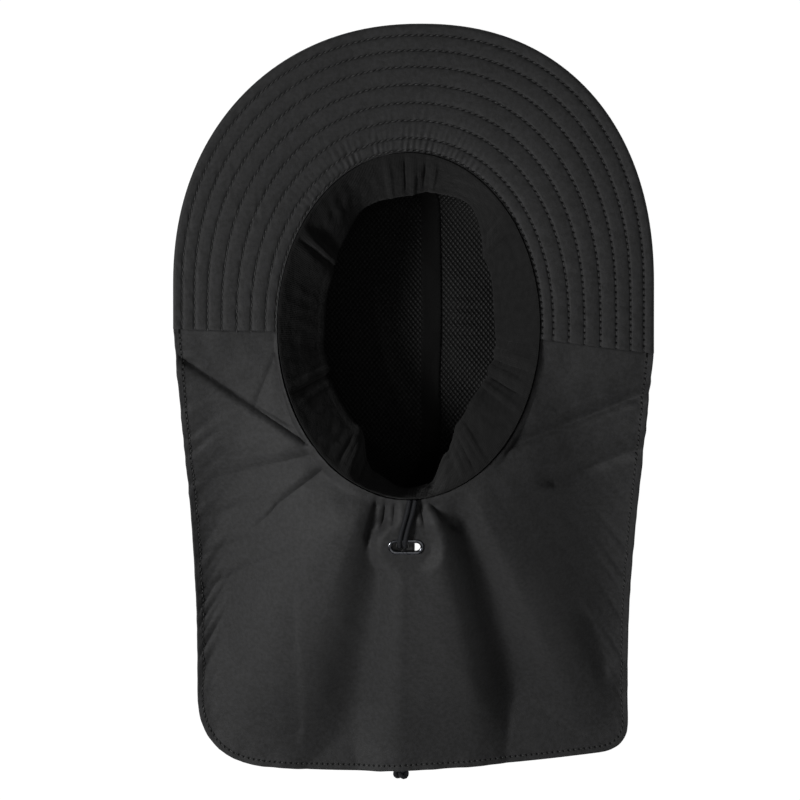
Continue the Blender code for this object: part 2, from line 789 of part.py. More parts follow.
def build_knot(group, surface):
    """The knot that ties the two strands at the hem, a squat round form that lies on the floor."""
    shape = bmesh.new()
    bmesh.ops.create_uvsphere(shape, u_segments=14, v_segments=8, radius=0.5)
    bmesh.ops.scale(shape, vec=(KNOT_WIDTH, KNOT_LENGTH, KNOT_HEIGHT), verts=shape.verts)
    mesh = bpy.data.meshes.new("cord_knot")
    shape.to_mesh(mesh)
    shape.free()
    knot = bpy.data.objects.new("cord_knot", mesh)
    knot.location = (
        KNOT_ACROSS,
        REAR_EDGE - FLAP_LENGTH - KNOT_PROUD + KNOT_LENGTH / 2,
        KNOT_HEIGHT / 2,
    )
    group.objects.link(knot)
    return finish(knot, surface)


def main():
    """Builds the hat."""
    clear_scene()
    hat = new_collection("flap_sun_hat")
    cutters = new_collection("cutters")
    shell_cloth = new_material("shell_cloth", (0.030, 0.030, 0.031), 0.75)
    cord = new_material("cord", (0.018, 0.019, 0.022), 0.7)
    build_crown(hat, shell_cloth)
    build_lining(hat, new_material("lining_mesh", (0.012, 0.012, 0.012), 0.85))
    build_tape(hat, new_material("tape", (0.008, 0.008, 0.008), 0.6))
    build_band(hat, new_material("band_cloth", (0.014, 0.014, 0.014), 0.8))
    build_brim(hat, shell_cloth)
    build_flap(hat, cutters, shell_cloth)
    build_eyelet(hat, new_material("eyelet_metal", (0.42, 0.43, 0.45), 0.3, 1.0))
    build_strand("draw_cord_left", hat, cord, -1)
    build_strand("draw_cord_right", hat, cord, 1)
    build_lock(hat, cutters, new_material("lock_plastic", (0.015, 0.015, 0.015), 0.45))
    build_knot(hat, cord)


main()
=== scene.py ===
"""Looks of the flap sun hat, which lies upside down on its crown.

Every soft piece is a surface worked out from two shares and given a wall: the crown and its mesh
lining, the sweatband, the quilted brim and the neck flap. Thread, braid and metal are modelled
over them. Units are metres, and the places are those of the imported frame.
"""

from __future__ import annotations

import logging
import math
from dataclasses import dataclass
from enum import Enum

import bmesh
import bpy
import numpy as np

import sys
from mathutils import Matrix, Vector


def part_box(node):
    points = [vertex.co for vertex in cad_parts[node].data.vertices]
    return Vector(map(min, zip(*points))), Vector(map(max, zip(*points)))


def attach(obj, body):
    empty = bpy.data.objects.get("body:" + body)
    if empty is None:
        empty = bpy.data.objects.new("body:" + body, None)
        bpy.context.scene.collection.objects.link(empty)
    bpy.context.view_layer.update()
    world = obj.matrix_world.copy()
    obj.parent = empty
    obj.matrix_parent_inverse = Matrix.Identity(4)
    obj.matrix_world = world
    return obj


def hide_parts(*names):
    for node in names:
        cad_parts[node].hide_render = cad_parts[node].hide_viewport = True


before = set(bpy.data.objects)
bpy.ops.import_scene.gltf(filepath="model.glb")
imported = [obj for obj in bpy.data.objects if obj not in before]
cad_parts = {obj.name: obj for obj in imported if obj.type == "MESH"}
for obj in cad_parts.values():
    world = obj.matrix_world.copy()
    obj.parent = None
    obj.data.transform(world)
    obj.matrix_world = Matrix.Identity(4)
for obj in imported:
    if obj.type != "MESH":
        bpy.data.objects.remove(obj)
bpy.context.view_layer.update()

Array = np.ndarray
log = logging.getLogger("flap_sun_hat")

SHARP_DEGREES = 62.0
CAP_HEIGHT = 0.45


def smooth(share: Array | float) -> Array:
    """Rises from 0 to 1 with level ends: three squares less two cubes of the clipped share."""
    share = np.clip(share, 0.0, 1.0)
    return share * share * (3.0 - 2.0 * share)


def mix(first: Array | float, second: Array | float, share: Array | float) -> Array:
    """The value this share of the way from the first to the second."""
    return first + (second - first) * share


def bell(distance: Array | float, spread: float) -> Array:
    """A bump of height 1: the exponential of minus the squared distance over the spread."""
    return np.exp(-((np.asarray(distance) / spread) ** 2))


def turn_gap(turn: Array, other: float) -> Array:
    """The angle between turns in degrees, at most 180."""
    return np.abs((turn - other + 180.0) % 360.0 - 180.0)


def waves(x: Array, y: Array, length: float, seed: int, count: int = 9) -> Array:
    """Soft irregular waves: a sum of sines along seeded directions, each near the given length.

    Args:
        x: first coordinate in metres.
        y: second coordinate in metres.
        length: usual wave length in metres.
        seed: seed of the directions, lengths and phases.
        count: how many sines are added.

    Returns:
        Heights that mostly lie between -1 and 1.
    """
    draw = np.random.default_rng(seed)
    total = np.zeros(np.broadcast(x, y).shape)
    for _ in range(count):
        angle, phase = draw.uniform(0.0, math.tau, 2)
        number = math.tau / (length * draw.uniform(0.65, 1.6))
        total += np.sin(number * (x * math.cos(angle) + y * math.sin(angle)) + phase)
    return total / math.sqrt(2.0 * count)


def unit(vectors: Array) -> Array:
    """The vectors scaled to length 1."""
    return vectors / np.maximum(np.linalg.norm(vectors, axis=-1, keepdims=True), 1e-12)


def run_lengths(points: Array) -> Array:
    """Length along a line of points, or along each row of a grid of them."""
    steps = np.linalg.norm(np.diff(points, axis=-2), axis=-1)
    return np.concatenate([np.zeros_like(steps[..., :1]), np.cumsum(steps, axis=-1)], axis=-1)


def grid_normals(points: Array, wrapped: bool = False) -> Array:
    """Normals of a grid of points: the cross product of its two directions' differences.

    Args:
        points: places, rows by columns by 3.
        wrapped: whether the last column repeats the first.

    Returns:
        Unit normals in the same layout.
    """
    along = np.gradient(points, axis=1)
    if wrapped:
        ends = (points[:, 1] - points[:, -2]) / 2.0
        along[:, 0] = ends
        along[:, -1] = ends
    down = np.gradient(points, axis=0)
    return unit(np.cross(along, down))


def signed_volume(points: Array, quads: Array) -> float:
    """Six times the volume inside quads, which is positive where they face outwards."""
    a, b, c, d = (points[quads[:, k]] for k in range(4))
    return float((a * np.cross(b, c)).sum() + (a * np.cross(c, d)).sum())


def rounded_edge(distance: Array, radius: float, least: float) -> Array:
    """Share of the full thickness near a rounded edge: a quarter circle with a least value.

    Args:
        distance: distances to the edge.
        radius: how far the rounding reaches.
        least: least value of the squared share.

    Returns:
        Shares of the full thickness.
    """
    share = np.clip(distance / radius, 0.0, 1.0)
    return np.sqrt(np.clip(1.0 - (1.0 - share) ** 2, least, 1.0))


def stepped(at: Array, stations: Array, values: Array) -> Array:
    """Reads a table of values with a smooth step from each station to the next.

    Args:
        at: where the table is read.
        stations: where its rows stand, in rising order.
        values: the value at each station.

    Returns:
        The values read.
    """
    k = np.clip(np.searchsorted(stations, at, side="right") - 1, 0, len(stations) - 2)
    share = (at - stations[k]) / (stations[k + 1] - stations[k])
    return mix(values[k], values[k + 1], smooth(share))


class Outline:
    """A plan line through many points, read by shares of its length."""

    def __init__(self, points: list) -> None:
        """Stores the points and the length up to each."""
        self.points = np.array(points, float)
        self.lengths = run_lengths(self.points)

    def at(self, share: Array) -> Array:
        """The plan points at these shares of the length."""
        distance = np.asarray(share) * self.lengths[-1]
        return np.stack([np.interp(distance, self.lengths, self.points[:, k]) for k in range(2)], axis=-1)


def bowed_run(start: tuple, end: tuple, bow: float, steps: int = 16) -> list[Array]:
    """Points from start to end, bowed to the left by a half sine of this height.

    Args:
        start: plan point where the run begins.
        end: plan point where it ends.
        bow: height of the half sine in metres.
        steps: how many steps it has.

    Returns:
        The points, in order.
    """
    first = np.array(start, float)
    way = np.array(end, float) - first
    left = np.array((-way[1], way[0])) / np.linalg.norm(way)
    return [first + way * s + left * bow * math.sin(math.pi * s) for s in np.linspace(0.0, 1.0, steps + 1)]


def rounded_corner(before: list, after: list, back: float, onward: float, steps: int = 12) -> list[Array]:
    """Joins two runs by a curve of second degree that starts and ends this far from their corner.

    Args:
        before: points that end at the corner.
        after: points that start at the corner.
        back: length that the curve takes from the first run.
        onward: length that it takes from the second.
        steps: how many steps the curve has.

    Returns:
        The points of both runs with the curve between them.
    """
    corner = np.array(before[-1])
    kept_before = [p for p in before if np.linalg.norm(p - corner) > back]
    kept_after = [p for p in after if np.linalg.norm(p - corner) > onward]
    start = corner + unit(kept_before[-1] - corner) * back
    end = corner + unit(kept_after[0] - corner) * onward
    curve = [
        start * (1 - s) ** 2 + corner * 2 * s * (1 - s) + end * s**2 for s in np.linspace(0.0, 1.0, steps + 1)
    ]
    return kept_before + curve + kept_after


def smooth_curve(points: Array, step: float) -> Array:
    """Evenly spaced points on a smooth curve through the given ones.

    Between two points the curve is a cubic whose end slopes are half the difference of the
    neighbours; the result is then read again at equal lengths.

    Args:
        points: the stations, one in a row.
        step: distance between the points returned, in metres.

    Returns:
        The points, one in a row.
    """
    line = np.vstack([points[0] * 2 - points[1], points, points[-1] * 2 - points[-2]])
    share = np.linspace(0.0, 1.0, 24, endpoint=False)[:, None]
    pieces = []
    for a, b, c, d in zip(line[:-3], line[1:-2], line[2:-1], line[3:]):
        pieces.append(
            (
                b * 2
                + (c - a) * share
                + (a * 2 - b * 5 + c * 4 - d) * share**2
                + (b * 3 - a - c * 3 + d) * share**3
            )
            / 2
        )
    dense = np.vstack(pieces + [line[-2]])
    lengths = run_lengths(dense)
    at = np.linspace(0.0, lengths[-1], max(3, round(lengths[-1] / step)))
    return np.stack([np.interp(at, lengths, dense[:, k]) for k in range(3)], axis=1)


def new_object(name: str, points: Array, faces: list, corner_uv: Array | None = None) -> bpy.types.Object:
    """Makes a smooth mesh object from points and faces.

    Args:
        name: the piece's name.
        points: vertex places, one in a row.
        faces: lists of vertex numbers.
        corner_uv: a pair in metres for each face corner, in the faces' order.

    Returns:
        The object, linked to the scene.
    """
    mesh = bpy.data.meshes.new(name)
    mesh.from_pydata(points.tolist(), [], faces)
    if corner_uv is not None:
        layer = mesh.uv_layers.new(name="lay")
        layer.data.foreach_set("uv", corner_uv.astype(np.float32).ravel())
    mesh.shade_smooth()
    mesh.set_sharp_from_angle(angle=math.radians(SHARP_DEGREES))
    made = bpy.data.objects.new(name, mesh)
    bpy.context.scene.collection.objects.link(made)
    return made


def walled(
    name: str,
    top: Array,
    bottom: Array,
    lay: Array,
    wrapped: bool = False,
    pole: bool = False,
    kept: Array | None = None,
) -> bpy.types.Object:
    """Closes two faces of a cloth into one body, with a rim wherever the cloth ends.

    Args:
        name: the piece's name.
        top: places of one face, rows by columns by 3.
        bottom: places of the other face in the same layout.
        lay: coordinates in the cloth in metres, rows by columns by 2.
        wrapped: whether the last column repeats the first.
        pole: whether the last row is one point.
        kept: which cells are cloth; the others are a hole.

    Returns:
        The object, with its faces outwards.
    """
    rows, columns = top.shape[:2]
    order = np.arange(rows * columns).reshape(rows, columns)
    vertex = order.copy()
    if wrapped:
        vertex[:, -1] = vertex[:, 0]
    if pole:
        vertex[-1, :] = vertex[-1, 0]
    cells = np.ones((rows - 1, columns - 1), bool) if kept is None else kept
    around = np.pad(cells, 1)
    if wrapped:
        around[:, 0] = around[:, -2]
        around[:, -1] = around[:, 1]
    if pole:
        around[-1, :] = True
    r, c = np.nonzero(cells)
    one, two, three, four = order[r, c], order[r, c + 1], order[r + 1, c + 1], order[r + 1, c]
    under = rows * columns
    faces = [np.stack([one, two, three, four], 1), np.stack([four, three, two, one], 1) + under]
    sides = (
        (around[r, c + 1], two, one),
        (around[r + 2, c + 1], four, three),
        (around[r + 1, c], one, four),
        (around[r + 1, c + 2], three, two),
    )
    for neighbour, start, end in sides:
        bare = ~neighbour
        faces.append(np.stack([start[bare], end[bare], end[bare] + under, start[bare] + under], 1))
    corners = np.vstack(faces)
    names = np.concatenate([vertex.ravel(), vertex.ravel() + under])
    places = np.vstack([top.reshape(-1, 3), bottom.reshape(-1, 3)])
    used, compact = np.unique(names[corners], return_inverse=True)
    compact = compact.reshape(corners.shape)
    points = places[used]
    if signed_volume(points, compact) < 0.0:
        compact, corners = compact[:, ::-1], corners[:, ::-1]
    flat = np.vstack([lay.reshape(-1, 2)] * 2)
    double = compact == np.roll(compact, -1, axis=1)
    plain = ~double.any(axis=1)
    listed = compact[plain].tolist()
    uv = [flat[corners[plain]].reshape(-1, 2)]
    for row, names_row, twice in zip(compact[~plain], corners[~plain], double[~plain]):
        listed.append(row[~twice].tolist())
        uv.append(flat[names_row[~twice]])
    return new_object(name, points, listed, np.vstack(uv))


def tube(name: str, line: Array, radius: Array, sides: int, closed: bool = False) -> bpy.types.Object:
    """A tube along a line: rings that stand square to it, with a cap fanned over each open end.

    Args:
        name: the piece's name.
        line: centre points, one in a row.
        radius: the radius at each ring and side, rings by sides.
        sides: how many sides a ring has.
        closed: whether the line's end joins its start.

    Returns:
        The object, whose map runs along it and around it in metres.
    """
    way = np.roll(line, -1, axis=0) - np.roll(line, 1, axis=0) if closed else np.gradient(line, axis=0)
    way = unit(way)
    across = np.zeros_like(way)
    side = unit(np.cross(way[0], [0.0, 0.0, 1.0]) + np.cross(way[0], [0.0, 1.0, 0.0]) * 1e-3)
    for k, direction in enumerate(way):
        side = unit(side - direction * (side @ direction))
        across[k] = side
    if closed:
        turned = np.cross(across[-1], across[0]) @ way[0]
        twist = math.atan2(turned, across[-1] @ across[0])
        angle = np.linspace(0.0, twist, len(line), endpoint=False)[:, None]
        across = across * np.cos(angle) + np.cross(way, across) * np.sin(angle)
    upward = np.cross(way, across)
    angle = np.linspace(0.0, math.tau, sides + 1)
    ring = across[:, None] * np.cos(angle)[:, None] + upward[:, None] * np.sin(angle)[:, None]
    full = np.concatenate([radius, radius[:, :1]], axis=1)
    points = line[:, None] + ring * full[..., None]
    lay = np.stack(np.broadcast_arrays(run_lengths(line)[:, None], angle * radius.mean()), axis=-1)
    rings, columns = len(line), sides
    number = np.arange(rings * columns).reshape(rings, columns)
    number = np.concatenate([number, number[:, :1]], axis=1)
    last = rings if closed else rings - 1
    r, c = np.meshgrid(np.arange(last), np.arange(columns), indexing="ij")
    n = (r + 1) % rings
    corners = np.stack([number[r, c], number[r, c + 1], number[n, c + 1], number[n, c]], -1).reshape(-1, 4)
    uv = np.stack([lay[r, c], lay[r, c + 1], lay[n, c + 1], lay[n, c]], axis=2).reshape(-1, 2)
    faces = corners.tolist()
    places = points[:, :-1].reshape(-1, 3)
    if not closed:
        dome = radius.mean() * CAP_HEIGHT
        ends = [line[:1] - way[:1] * dome, line[-1:] + way[-1:] * dome]
        places = np.vstack([places, *ends])
        first, final = len(places) - 2, len(places) - 1
        for c in range(columns):
            faces.append([first, int(number[0, c + 1]), int(number[0, c])])
            faces.append([final, int(number[-1, c]), int(number[-1, c + 1])])
        uv = np.vstack([uv, np.zeros((6 * columns, 2))])
    return new_object(name, places, faces, uv)


@dataclass(frozen=True)
class Thread:
    """Sewing thread laid as single stitches over a surface."""

    pitch: float = 0.0038
    length: float = 0.0029
    radius: float = 0.00026
    arch: float = 0.00022
    taper: float = 0.85
    dive: float = 1.9
    sides: int = 6
    rings: int = 5

    def sew(self, name: str, runs: list[tuple[Array, Array, Array | float]]) -> bpy.types.Object:
        """Lays stitches along runs: each is a thin arched spindle, its ends sunk in the cloth.

        Args:
            name: the piece's name.
            runs: for each run its line, the normals there and the thread's height over the line.

        Returns:
            The object, all stitches in one mesh.
        """
        centres, ways, normals = [], [], []
        for base, normal, level in runs:
            lengths = run_lengths(base)
            line = base + normal * np.broadcast_to(level, lengths.shape)[:, None]
            at = np.arange(self.pitch / 2, lengths[-1], self.pitch)
            read = [np.interp(at, lengths, column) for column in np.hstack([line, normal]).T]
            ahead = [np.interp(at + self.pitch / 4, lengths, column) for column in line.T]
            centre = np.stack(read[:3], axis=1)
            centres.append(centre)
            normals.append(unit(np.stack(read[3:], axis=1)))
            ways.append(unit(np.stack(ahead, axis=1) - centre))
        centre, way, normal = np.vstack(centres), np.vstack(ways), np.vstack(normals)
        side = unit(np.cross(normal, way))
        share = np.linspace(-1.0, 1.0, self.rings)
        angle = np.linspace(0.0, math.tau, self.sides, endpoint=False)
        thick = self.radius * np.sqrt(np.maximum(1.0 - share**2 * self.taper, 0.0))
        lift = self.arch * (1.0 - share**2 * self.dive)
        spine = (
            centre[:, None]
            + way[:, None] * (share * self.length / 2)[None, :, None]
            + normal[:, None] * lift[None, :, None]
        )
        ring = side[:, None] * np.cos(angle)[None, :, None] + normal[:, None] * np.sin(angle)[None, :, None]
        points = spine[:, :, None] + ring[:, None] * thick[None, :, None, None]
        count = self.rings * self.sides
        number = np.arange(count).reshape(self.rings, self.sides)
        turned = np.roll(number, -1, axis=1)
        quads = np.stack([number[:-1], turned[:-1], turned[1:], number[1:]], axis=-1).reshape(-1, 4)
        base = (np.arange(len(centre)) * count)[:, None, None]
        faces = (quads[None] + base).reshape(-1, 4).tolist()
        caps = np.stack([number[0, ::-1], number[-1]])
        faces += (caps[None] + base).reshape(-1, self.sides).tolist()
        return new_object(name, points.reshape(-1, 3), faces)


class Value:
    """One socket of a shader, on which sums and products add Math nodes."""

    def __init__(self, graph: Graph, socket: bpy.types.NodeSocket) -> None:
        """Keeps the socket and the graph it belongs to."""
        self.graph = graph
        self.socket = socket

    def maths(self, operation: str, *others: Value | float) -> Value:
        """Adds a Math node of this operation on the value and the others."""
        inputs = dict(enumerate((self, *others)))
        return self.graph.node("ShaderNodeMath", {"operation": operation}, inputs)

    def __add__(self, other: Value | float) -> Value:
        """The sum."""
        return self.maths("ADD", other)

    def __sub__(self, other: Value | float) -> Value:
        """The difference."""
        return self.maths("SUBTRACT", other)

    def __rsub__(self, other: float) -> Value:
        """A number less the value."""
        return self.graph.node("ShaderNodeMath", {"operation": "SUBTRACT"}, {0: other, 1: self})

    def __mul__(self, other: Value | float) -> Value:
        """The product."""
        return self.maths("MULTIPLY", other)

    def sine(self) -> Value:
        """The sine of the value."""
        return self.maths("SINE")

    def cosine(self) -> Value:
        """The cosine of the value."""
        return self.maths("COSINE")

    def ramp(self, low: float, high: float) -> Value:
        """0 up to the low value and 1 from the high one, with a smooth rise between."""
        return self.graph.node(
            "ShaderNodeMapRange",
            {"interpolation_type": "SMOOTHSTEP"},
            {"Value": self, "From Min": low, "From Max": high},
        )


class Graph:
    """A material's node tree around one Principled shader."""

    def __init__(self, name: str) -> None:
        """Makes the material with its Principled shader."""
        self.material = bpy.data.materials.new(name)
        self.material.use_nodes = True
        self.tree = self.material.node_tree
        self.shader = self.tree.nodes["Principled BSDF"]

    def node(self, kind: str, settings: dict, inputs: dict, output: int | str = 0) -> Value:
        """Adds a node, sets it up and fills its sockets.

        Args:
            kind: the node's type.
            settings: properties that are set first.
            inputs: values or links by socket name or number.
            output: which of its sockets is returned.

        Returns:
            The chosen output.
        """
        made = self.tree.nodes.new(kind)
        for key, value in settings.items():
            setattr(made, key, value)
        for key, value in inputs.items():
            self.feed(made.inputs[key], value)
        return Value(self, made.outputs[output])

    def feed(self, socket: bpy.types.NodeSocket, value: Value | float | tuple) -> None:
        """Links a value to a socket, or sets the socket to a number or colour."""
        if isinstance(value, Value):
            self.tree.links.new(value.socket, socket)
        else:
            socket.default_value = value

    def place(self, map_name: str | None = None) -> Value:
        """The object's own coordinates, or its map of this name."""
        if map_name:
            return self.node("ShaderNodeUVMap", {"uv_map": map_name}, {})
        return self.node("ShaderNodeTexCoord", {}, {}, "Object")

    def split(self, vector: Value) -> tuple[Value, Value, Value]:
        """The three parts of a vector."""
        made = self.node("ShaderNodeSeparateXYZ", {}, {0: vector})
        outputs = made.socket.node.outputs
        return Value(self, outputs[0]), Value(self, outputs[1]), Value(self, outputs[2])

    def noise(self, vector: Value, scale: float, detail: float = 3.0, rough: float = 0.55) -> Value:
        """Soft irregular noise between 0 and 1, with this many cells in a metre."""
        return self.node(
            "ShaderNodeTexNoise",
            {},
            {"Vector": vector, "Scale": scale, "Detail": detail, "Roughness": rough},
            "Fac",
        )

    def blend(self, share: Value, low: Value | tuple, high: Value | tuple) -> Value:
        """A colour between two by a share."""
        first, second = (c if isinstance(c, Value) else (*c, 1.0) for c in (low, high))
        return self.node("ShaderNodeMix", {"data_type": "RGBA"}, {0: share, 6: first, 7: second}, 2)

    def bump(self, height: Value, distance: float, strength: float = 1.0, before: Value | None = None) -> Value:
        """A normal tilted by a height in shares of a distance in metres, over an earlier one."""
        inputs = {"Height": height, "Distance": distance, "Strength": strength}
        if before is not None:
            inputs["Normal"] = before
        return self.node("ShaderNodeBump", {}, inputs)

    def finish(self, **sockets: Value | float | tuple) -> bpy.types.Material:
        """Feeds the Principled shader; an underscore in a name stands for a space."""
        for name, value in sockets.items():
            self.feed(self.shader.inputs[name.replace("_", " ")], value)
        return self.material


def grey(level: float) -> tuple[float, float, float]:
    """A neutral colour of this level."""
    return (level, level, level)


@dataclass(frozen=True)
class ShellCloth:
    """Black plain-woven nylon with a dull sheen: fine crossed threads, a crinkle and a mottle."""

    name: str = "shell_cloth"
    dark: float = 0.0185
    light: float = 0.0265
    roughness: float = 0.55
    rough_spread: float = 0.10
    specular: float = 0.16
    sheen: float = 0.04
    thread: float = 0.00050
    slants: tuple[float, float] = (0.35, 0.55)
    coarse_cells: float = 130.0
    mottle_cells: float = 420.0
    fine_cells: float = 900.0
    coarse_height: float = 0.000484
    fine_height: float = 0.000198
    weave_height: float = 0.00003
    pitch: float = 0.0
    hole_width: float = 0.0009
    # colour of the painted shade that darkens the needle holes
    pit_shade_colour: float = 0.0008

    def make(self) -> bpy.types.Material:
        """Builds the material on object coordinates, with needle holes where it is sewn.

        The map gives the length along the seam and the distance from it. The holes lie at
        whole pitches and are pits, and their colour is darkened there as painted shade.
        """
        graph = Graph(self.name)
        place = graph.place()
        x, y, z = graph.split(place)
        number = math.tau / self.thread
        warp = ((x + z * self.slants[0]) * number).sine()
        weft = ((y + z * self.slants[1]) * number).sine()
        weave = warp * weft
        fine = graph.noise(place, self.fine_cells, 3.0, 0.6)
        coarse = graph.noise(place, self.coarse_cells, 4.0, 0.5)
        mottle = graph.noise(place, self.mottle_cells, 3.0, 0.6)
        bluish = (self.light, self.light, self.light * 1.03)
        colour = graph.blend(mottle.ramp(0.3, 0.7), grey(self.dark), bluish)
        normal = graph.bump(coarse, self.coarse_height, 0.8)
        normal = graph.bump(fine, self.fine_height, 0.8, normal)
        normal = graph.bump(weave, self.weave_height, 0.5, normal)
        rough = fine * self.rough_spread + self.roughness
        if self.pitch:
            along, beside, _ = graph.split(graph.place("lay"))
            hole = (along * (math.tau / self.pitch)).cosine().ramp(0.45, 0.95)
            hole = hole * (1.0 - beside.ramp(self.hole_width * 0.35, self.hole_width))
            # painted shade: the base colour darkens towards each needle hole, where shade falls into the pit
            colour = graph.blend(hole * 0.9, colour, grey(self.pit_shade_colour))
            rough = rough + hole * 0.4
            normal = graph.bump(1.0 - hole, self.hole_width * 0.6, 0.8, normal)
        return graph.finish(
            Base_Color=colour,
            Roughness=rough,
            Normal=normal,
            Specular_IOR_Level=self.specular,
            Sheen_Weight=self.sheen,
            Sheen_Roughness=0.5,
        )


@dataclass(frozen=True)
class BandKnit:
    """Soft black tricot with fine ribs that run from the sewn edge to the free one."""

    name: str = "band_cloth"
    dark: float = 0.0024
    light: float = 0.0060
    roughness: float = 0.85
    rib: float = 0.0011
    cloud_cells: float = 220.0
    fine_cells: float = 1500.0
    cloud_height: float = 0.0011
    rib_height: float = 0.00010
    fine_height: float = 0.00012

    def make(self) -> bpy.types.Material:
        """Builds the material on the band's own map."""
        graph = Graph(self.name)
        lay = graph.place("lay")
        u, v, _ = graph.split(lay)
        rib = (u * (math.tau / self.rib)).sine()
        cross = (v * (math.tau / (self.rib * 0.8))).sine()
        cloud = graph.noise(lay, self.cloud_cells, 4.0, 0.6)
        fine = graph.noise(lay, self.fine_cells, 2.0, 0.6)
        colour = graph.blend(cloud.ramp(0.3, 0.72), grey(self.dark), grey(self.light))
        normal = graph.bump(cloud, self.cloud_height, 0.9)
        normal = graph.bump(rib * 0.6 + cross * 0.4, self.rib_height, 0.8, normal)
        normal = graph.bump(fine, self.fine_height, 0.6, normal)
        return graph.finish(
            Base_Color=colour,
            Roughness=self.roughness,
            Normal=normal,
            Specular_IOR_Level=0.2,
            Sheen_Weight=0.05,
            Sheen_Roughness=0.6,
        )


@dataclass(frozen=True)
class OpenMesh:
    """Black warp-knit mesh: a lattice of diamonds, small holes between raised knots."""

    name: str = "lining_mesh"
    hole: float = 0.0005
    thread: float = 0.0062
    pitch: tuple[float, float] = (0.0030, 0.0037)
    cloud_cells: float = 90.0
    knot_height: float = 0.00045
    cloud_height: float = 0.0012

    def make(self) -> bpy.types.Material:
        """Builds the lattice from two crossing waves on the lining's own map."""
        graph = Graph(self.name)
        lay = graph.place("lay")
        u, v, _ = graph.split(lay)
        across, along = u * (math.tau / self.pitch[0]), v * (math.tau / self.pitch[1])
        lattice = (across + along).cosine() + (along - across).cosine()
        cloud = graph.noise(lay, self.cloud_cells, 3.0, 0.5)
        solid = lattice.ramp(-0.9, 1.1)
        colour = graph.blend(solid, grey(self.hole), grey(self.thread))
        normal = graph.bump(lattice * 0.5, self.knot_height, 0.9)
        normal = graph.bump(cloud, self.cloud_height, 0.6, normal)
        return graph.finish(
            Base_Color=colour, Roughness=solid * -0.25 + 0.85, Normal=normal, Specular_IOR_Level=0.3
        )


@dataclass(frozen=True)
class WovenTape:
    """Flat black twill tape with a fine diagonal rib."""

    name: str = "tape"
    colour: float = 0.0007
    rib: float = 0.0008
    cloud_cells: float = 300.0
    rib_height: float = 0.00005
    cloud_height: float = 0.0003

    def make(self) -> bpy.types.Material:
        """Builds the material on the tape's own map."""
        graph = Graph(self.name)
        lay = graph.place("lay")
        u, v, _ = graph.split(lay)
        number = math.tau / self.rib
        rib = (u * number + v * number).sine()
        cloud = graph.noise(lay, self.cloud_cells, 3.0, 0.5)
        colour = graph.blend(cloud, grey(self.colour * 0.7), grey(self.colour * 1.3))
        normal = graph.bump(rib, self.rib_height, 0.7)
        normal = graph.bump(cloud, self.cloud_height, 0.6, normal)
        return graph.finish(Base_Color=colour, Roughness=0.8, Normal=normal, Specular_IOR_Level=0.2)


@dataclass(frozen=True)
class SewingThread:
    """Black polyester thread, a little glossier than the cloth."""

    name: str = "thread"
    colour: float = 0.030
    cloud_cells: float = 700.0
    twist: float = 0.0004
    twist_height: float = 0.00003

    def make(self) -> bpy.types.Material:
        """Builds the material with a fine twist."""
        graph = Graph(self.name)
        place = graph.place()
        x, y, _ = graph.split(place)
        twist = ((x + y) * (math.tau / self.twist)).sine()
        cloud = graph.noise(place, self.cloud_cells)
        colour = graph.blend(cloud, grey(self.colour * 0.6), grey(self.colour * 1.3))
        normal = graph.bump(twist, self.twist_height, 0.5)
        return graph.finish(Base_Color=colour, Roughness=0.5, Normal=normal)


@dataclass(frozen=True)
class BraidedCord:
    """Bluish black braid; its crossing yarns are in the mesh, and single fibres in the bump."""

    name: str = "cord"
    dark: tuple[float, float, float] = (0.0022, 0.0024, 0.0034)
    light: tuple[float, float, float] = (0.0085, 0.0092, 0.0120)
    cloud_cells: float = 1200.0
    fibre: tuple[float, float] = (0.0006, 0.0003)
    fibre_height: float = 0.00003

    def make(self) -> bpy.types.Material:
        """Builds the material on the cord's own map."""
        graph = Graph(self.name)
        lay = graph.place("lay")
        u, v, _ = graph.split(lay)
        fibre = (u * (math.tau / self.fibre[0]) + v * (math.tau / self.fibre[1])).sine()
        cloud = graph.noise(lay, self.cloud_cells, 3.0, 0.6)
        colour = graph.blend(cloud, self.dark, self.light)
        normal = graph.bump(fibre, self.fibre_height, 0.6)
        return graph.finish(Base_Color=colour, Roughness=0.7, Normal=normal, Specular_IOR_Level=0.25)


@dataclass(frozen=True)
class DarkNickel:
    """Pressed metal with a dark nickel plating and faint scuffs."""

    name: str = "eyelet_metal"
    dark: tuple[float, float, float] = (0.045, 0.048, 0.055)
    light: tuple[float, float, float] = (0.17, 0.175, 0.19)
    roughness: float = 0.12
    rough_spread: float = 0.14
    cloud_cells: float = 500.0
    scuff_cells: float = 3000.0
    scuff_height: float = 0.00002

    def make(self) -> bpy.types.Material:
        """Builds the material on object coordinates."""
        graph = Graph(self.name)
        place = graph.place()
        cloud = graph.noise(place, self.cloud_cells, 4.0, 0.6)
        scuff = graph.noise(place, self.scuff_cells, 2.0, 0.7)
        colour = graph.blend(cloud.ramp(0.3, 0.7), self.dark, self.light)
        normal = graph.bump(scuff, self.scuff_height, 0.5)
        rough = cloud * self.rough_spread + self.roughness
        return graph.finish(Base_Color=colour, Metallic=1.0, Roughness=rough, Normal=normal)


@dataclass(frozen=True)
class MouldedPlastic:
    """Matte black moulded plastic with a spark-eroded grain."""

    name: str = "lock_plastic"
    colour: float = 0.012
    roughness: float = 0.36
    rough_spread: float = 0.12
    grain_cells: float = 2600.0
    cloud_cells: float = 120.0
    grain_height: float = 0.00004

    def make(self) -> bpy.types.Material:
        """Builds the material on object coordinates."""
        graph = Graph(self.name)
        place = graph.place()
        grain = graph.noise(place, self.grain_cells, 2.0, 0.6)
        cloud = graph.noise(place, self.cloud_cells, 2.0, 0.5)
        colour = graph.blend(cloud, grey(self.colour * 0.8), grey(self.colour * 1.25))
        rough = grain * self.rough_spread + self.roughness
        return graph.finish(Base_Color=colour, Roughness=rough, Normal=graph.bump(grain, self.grain_height, 0.6))


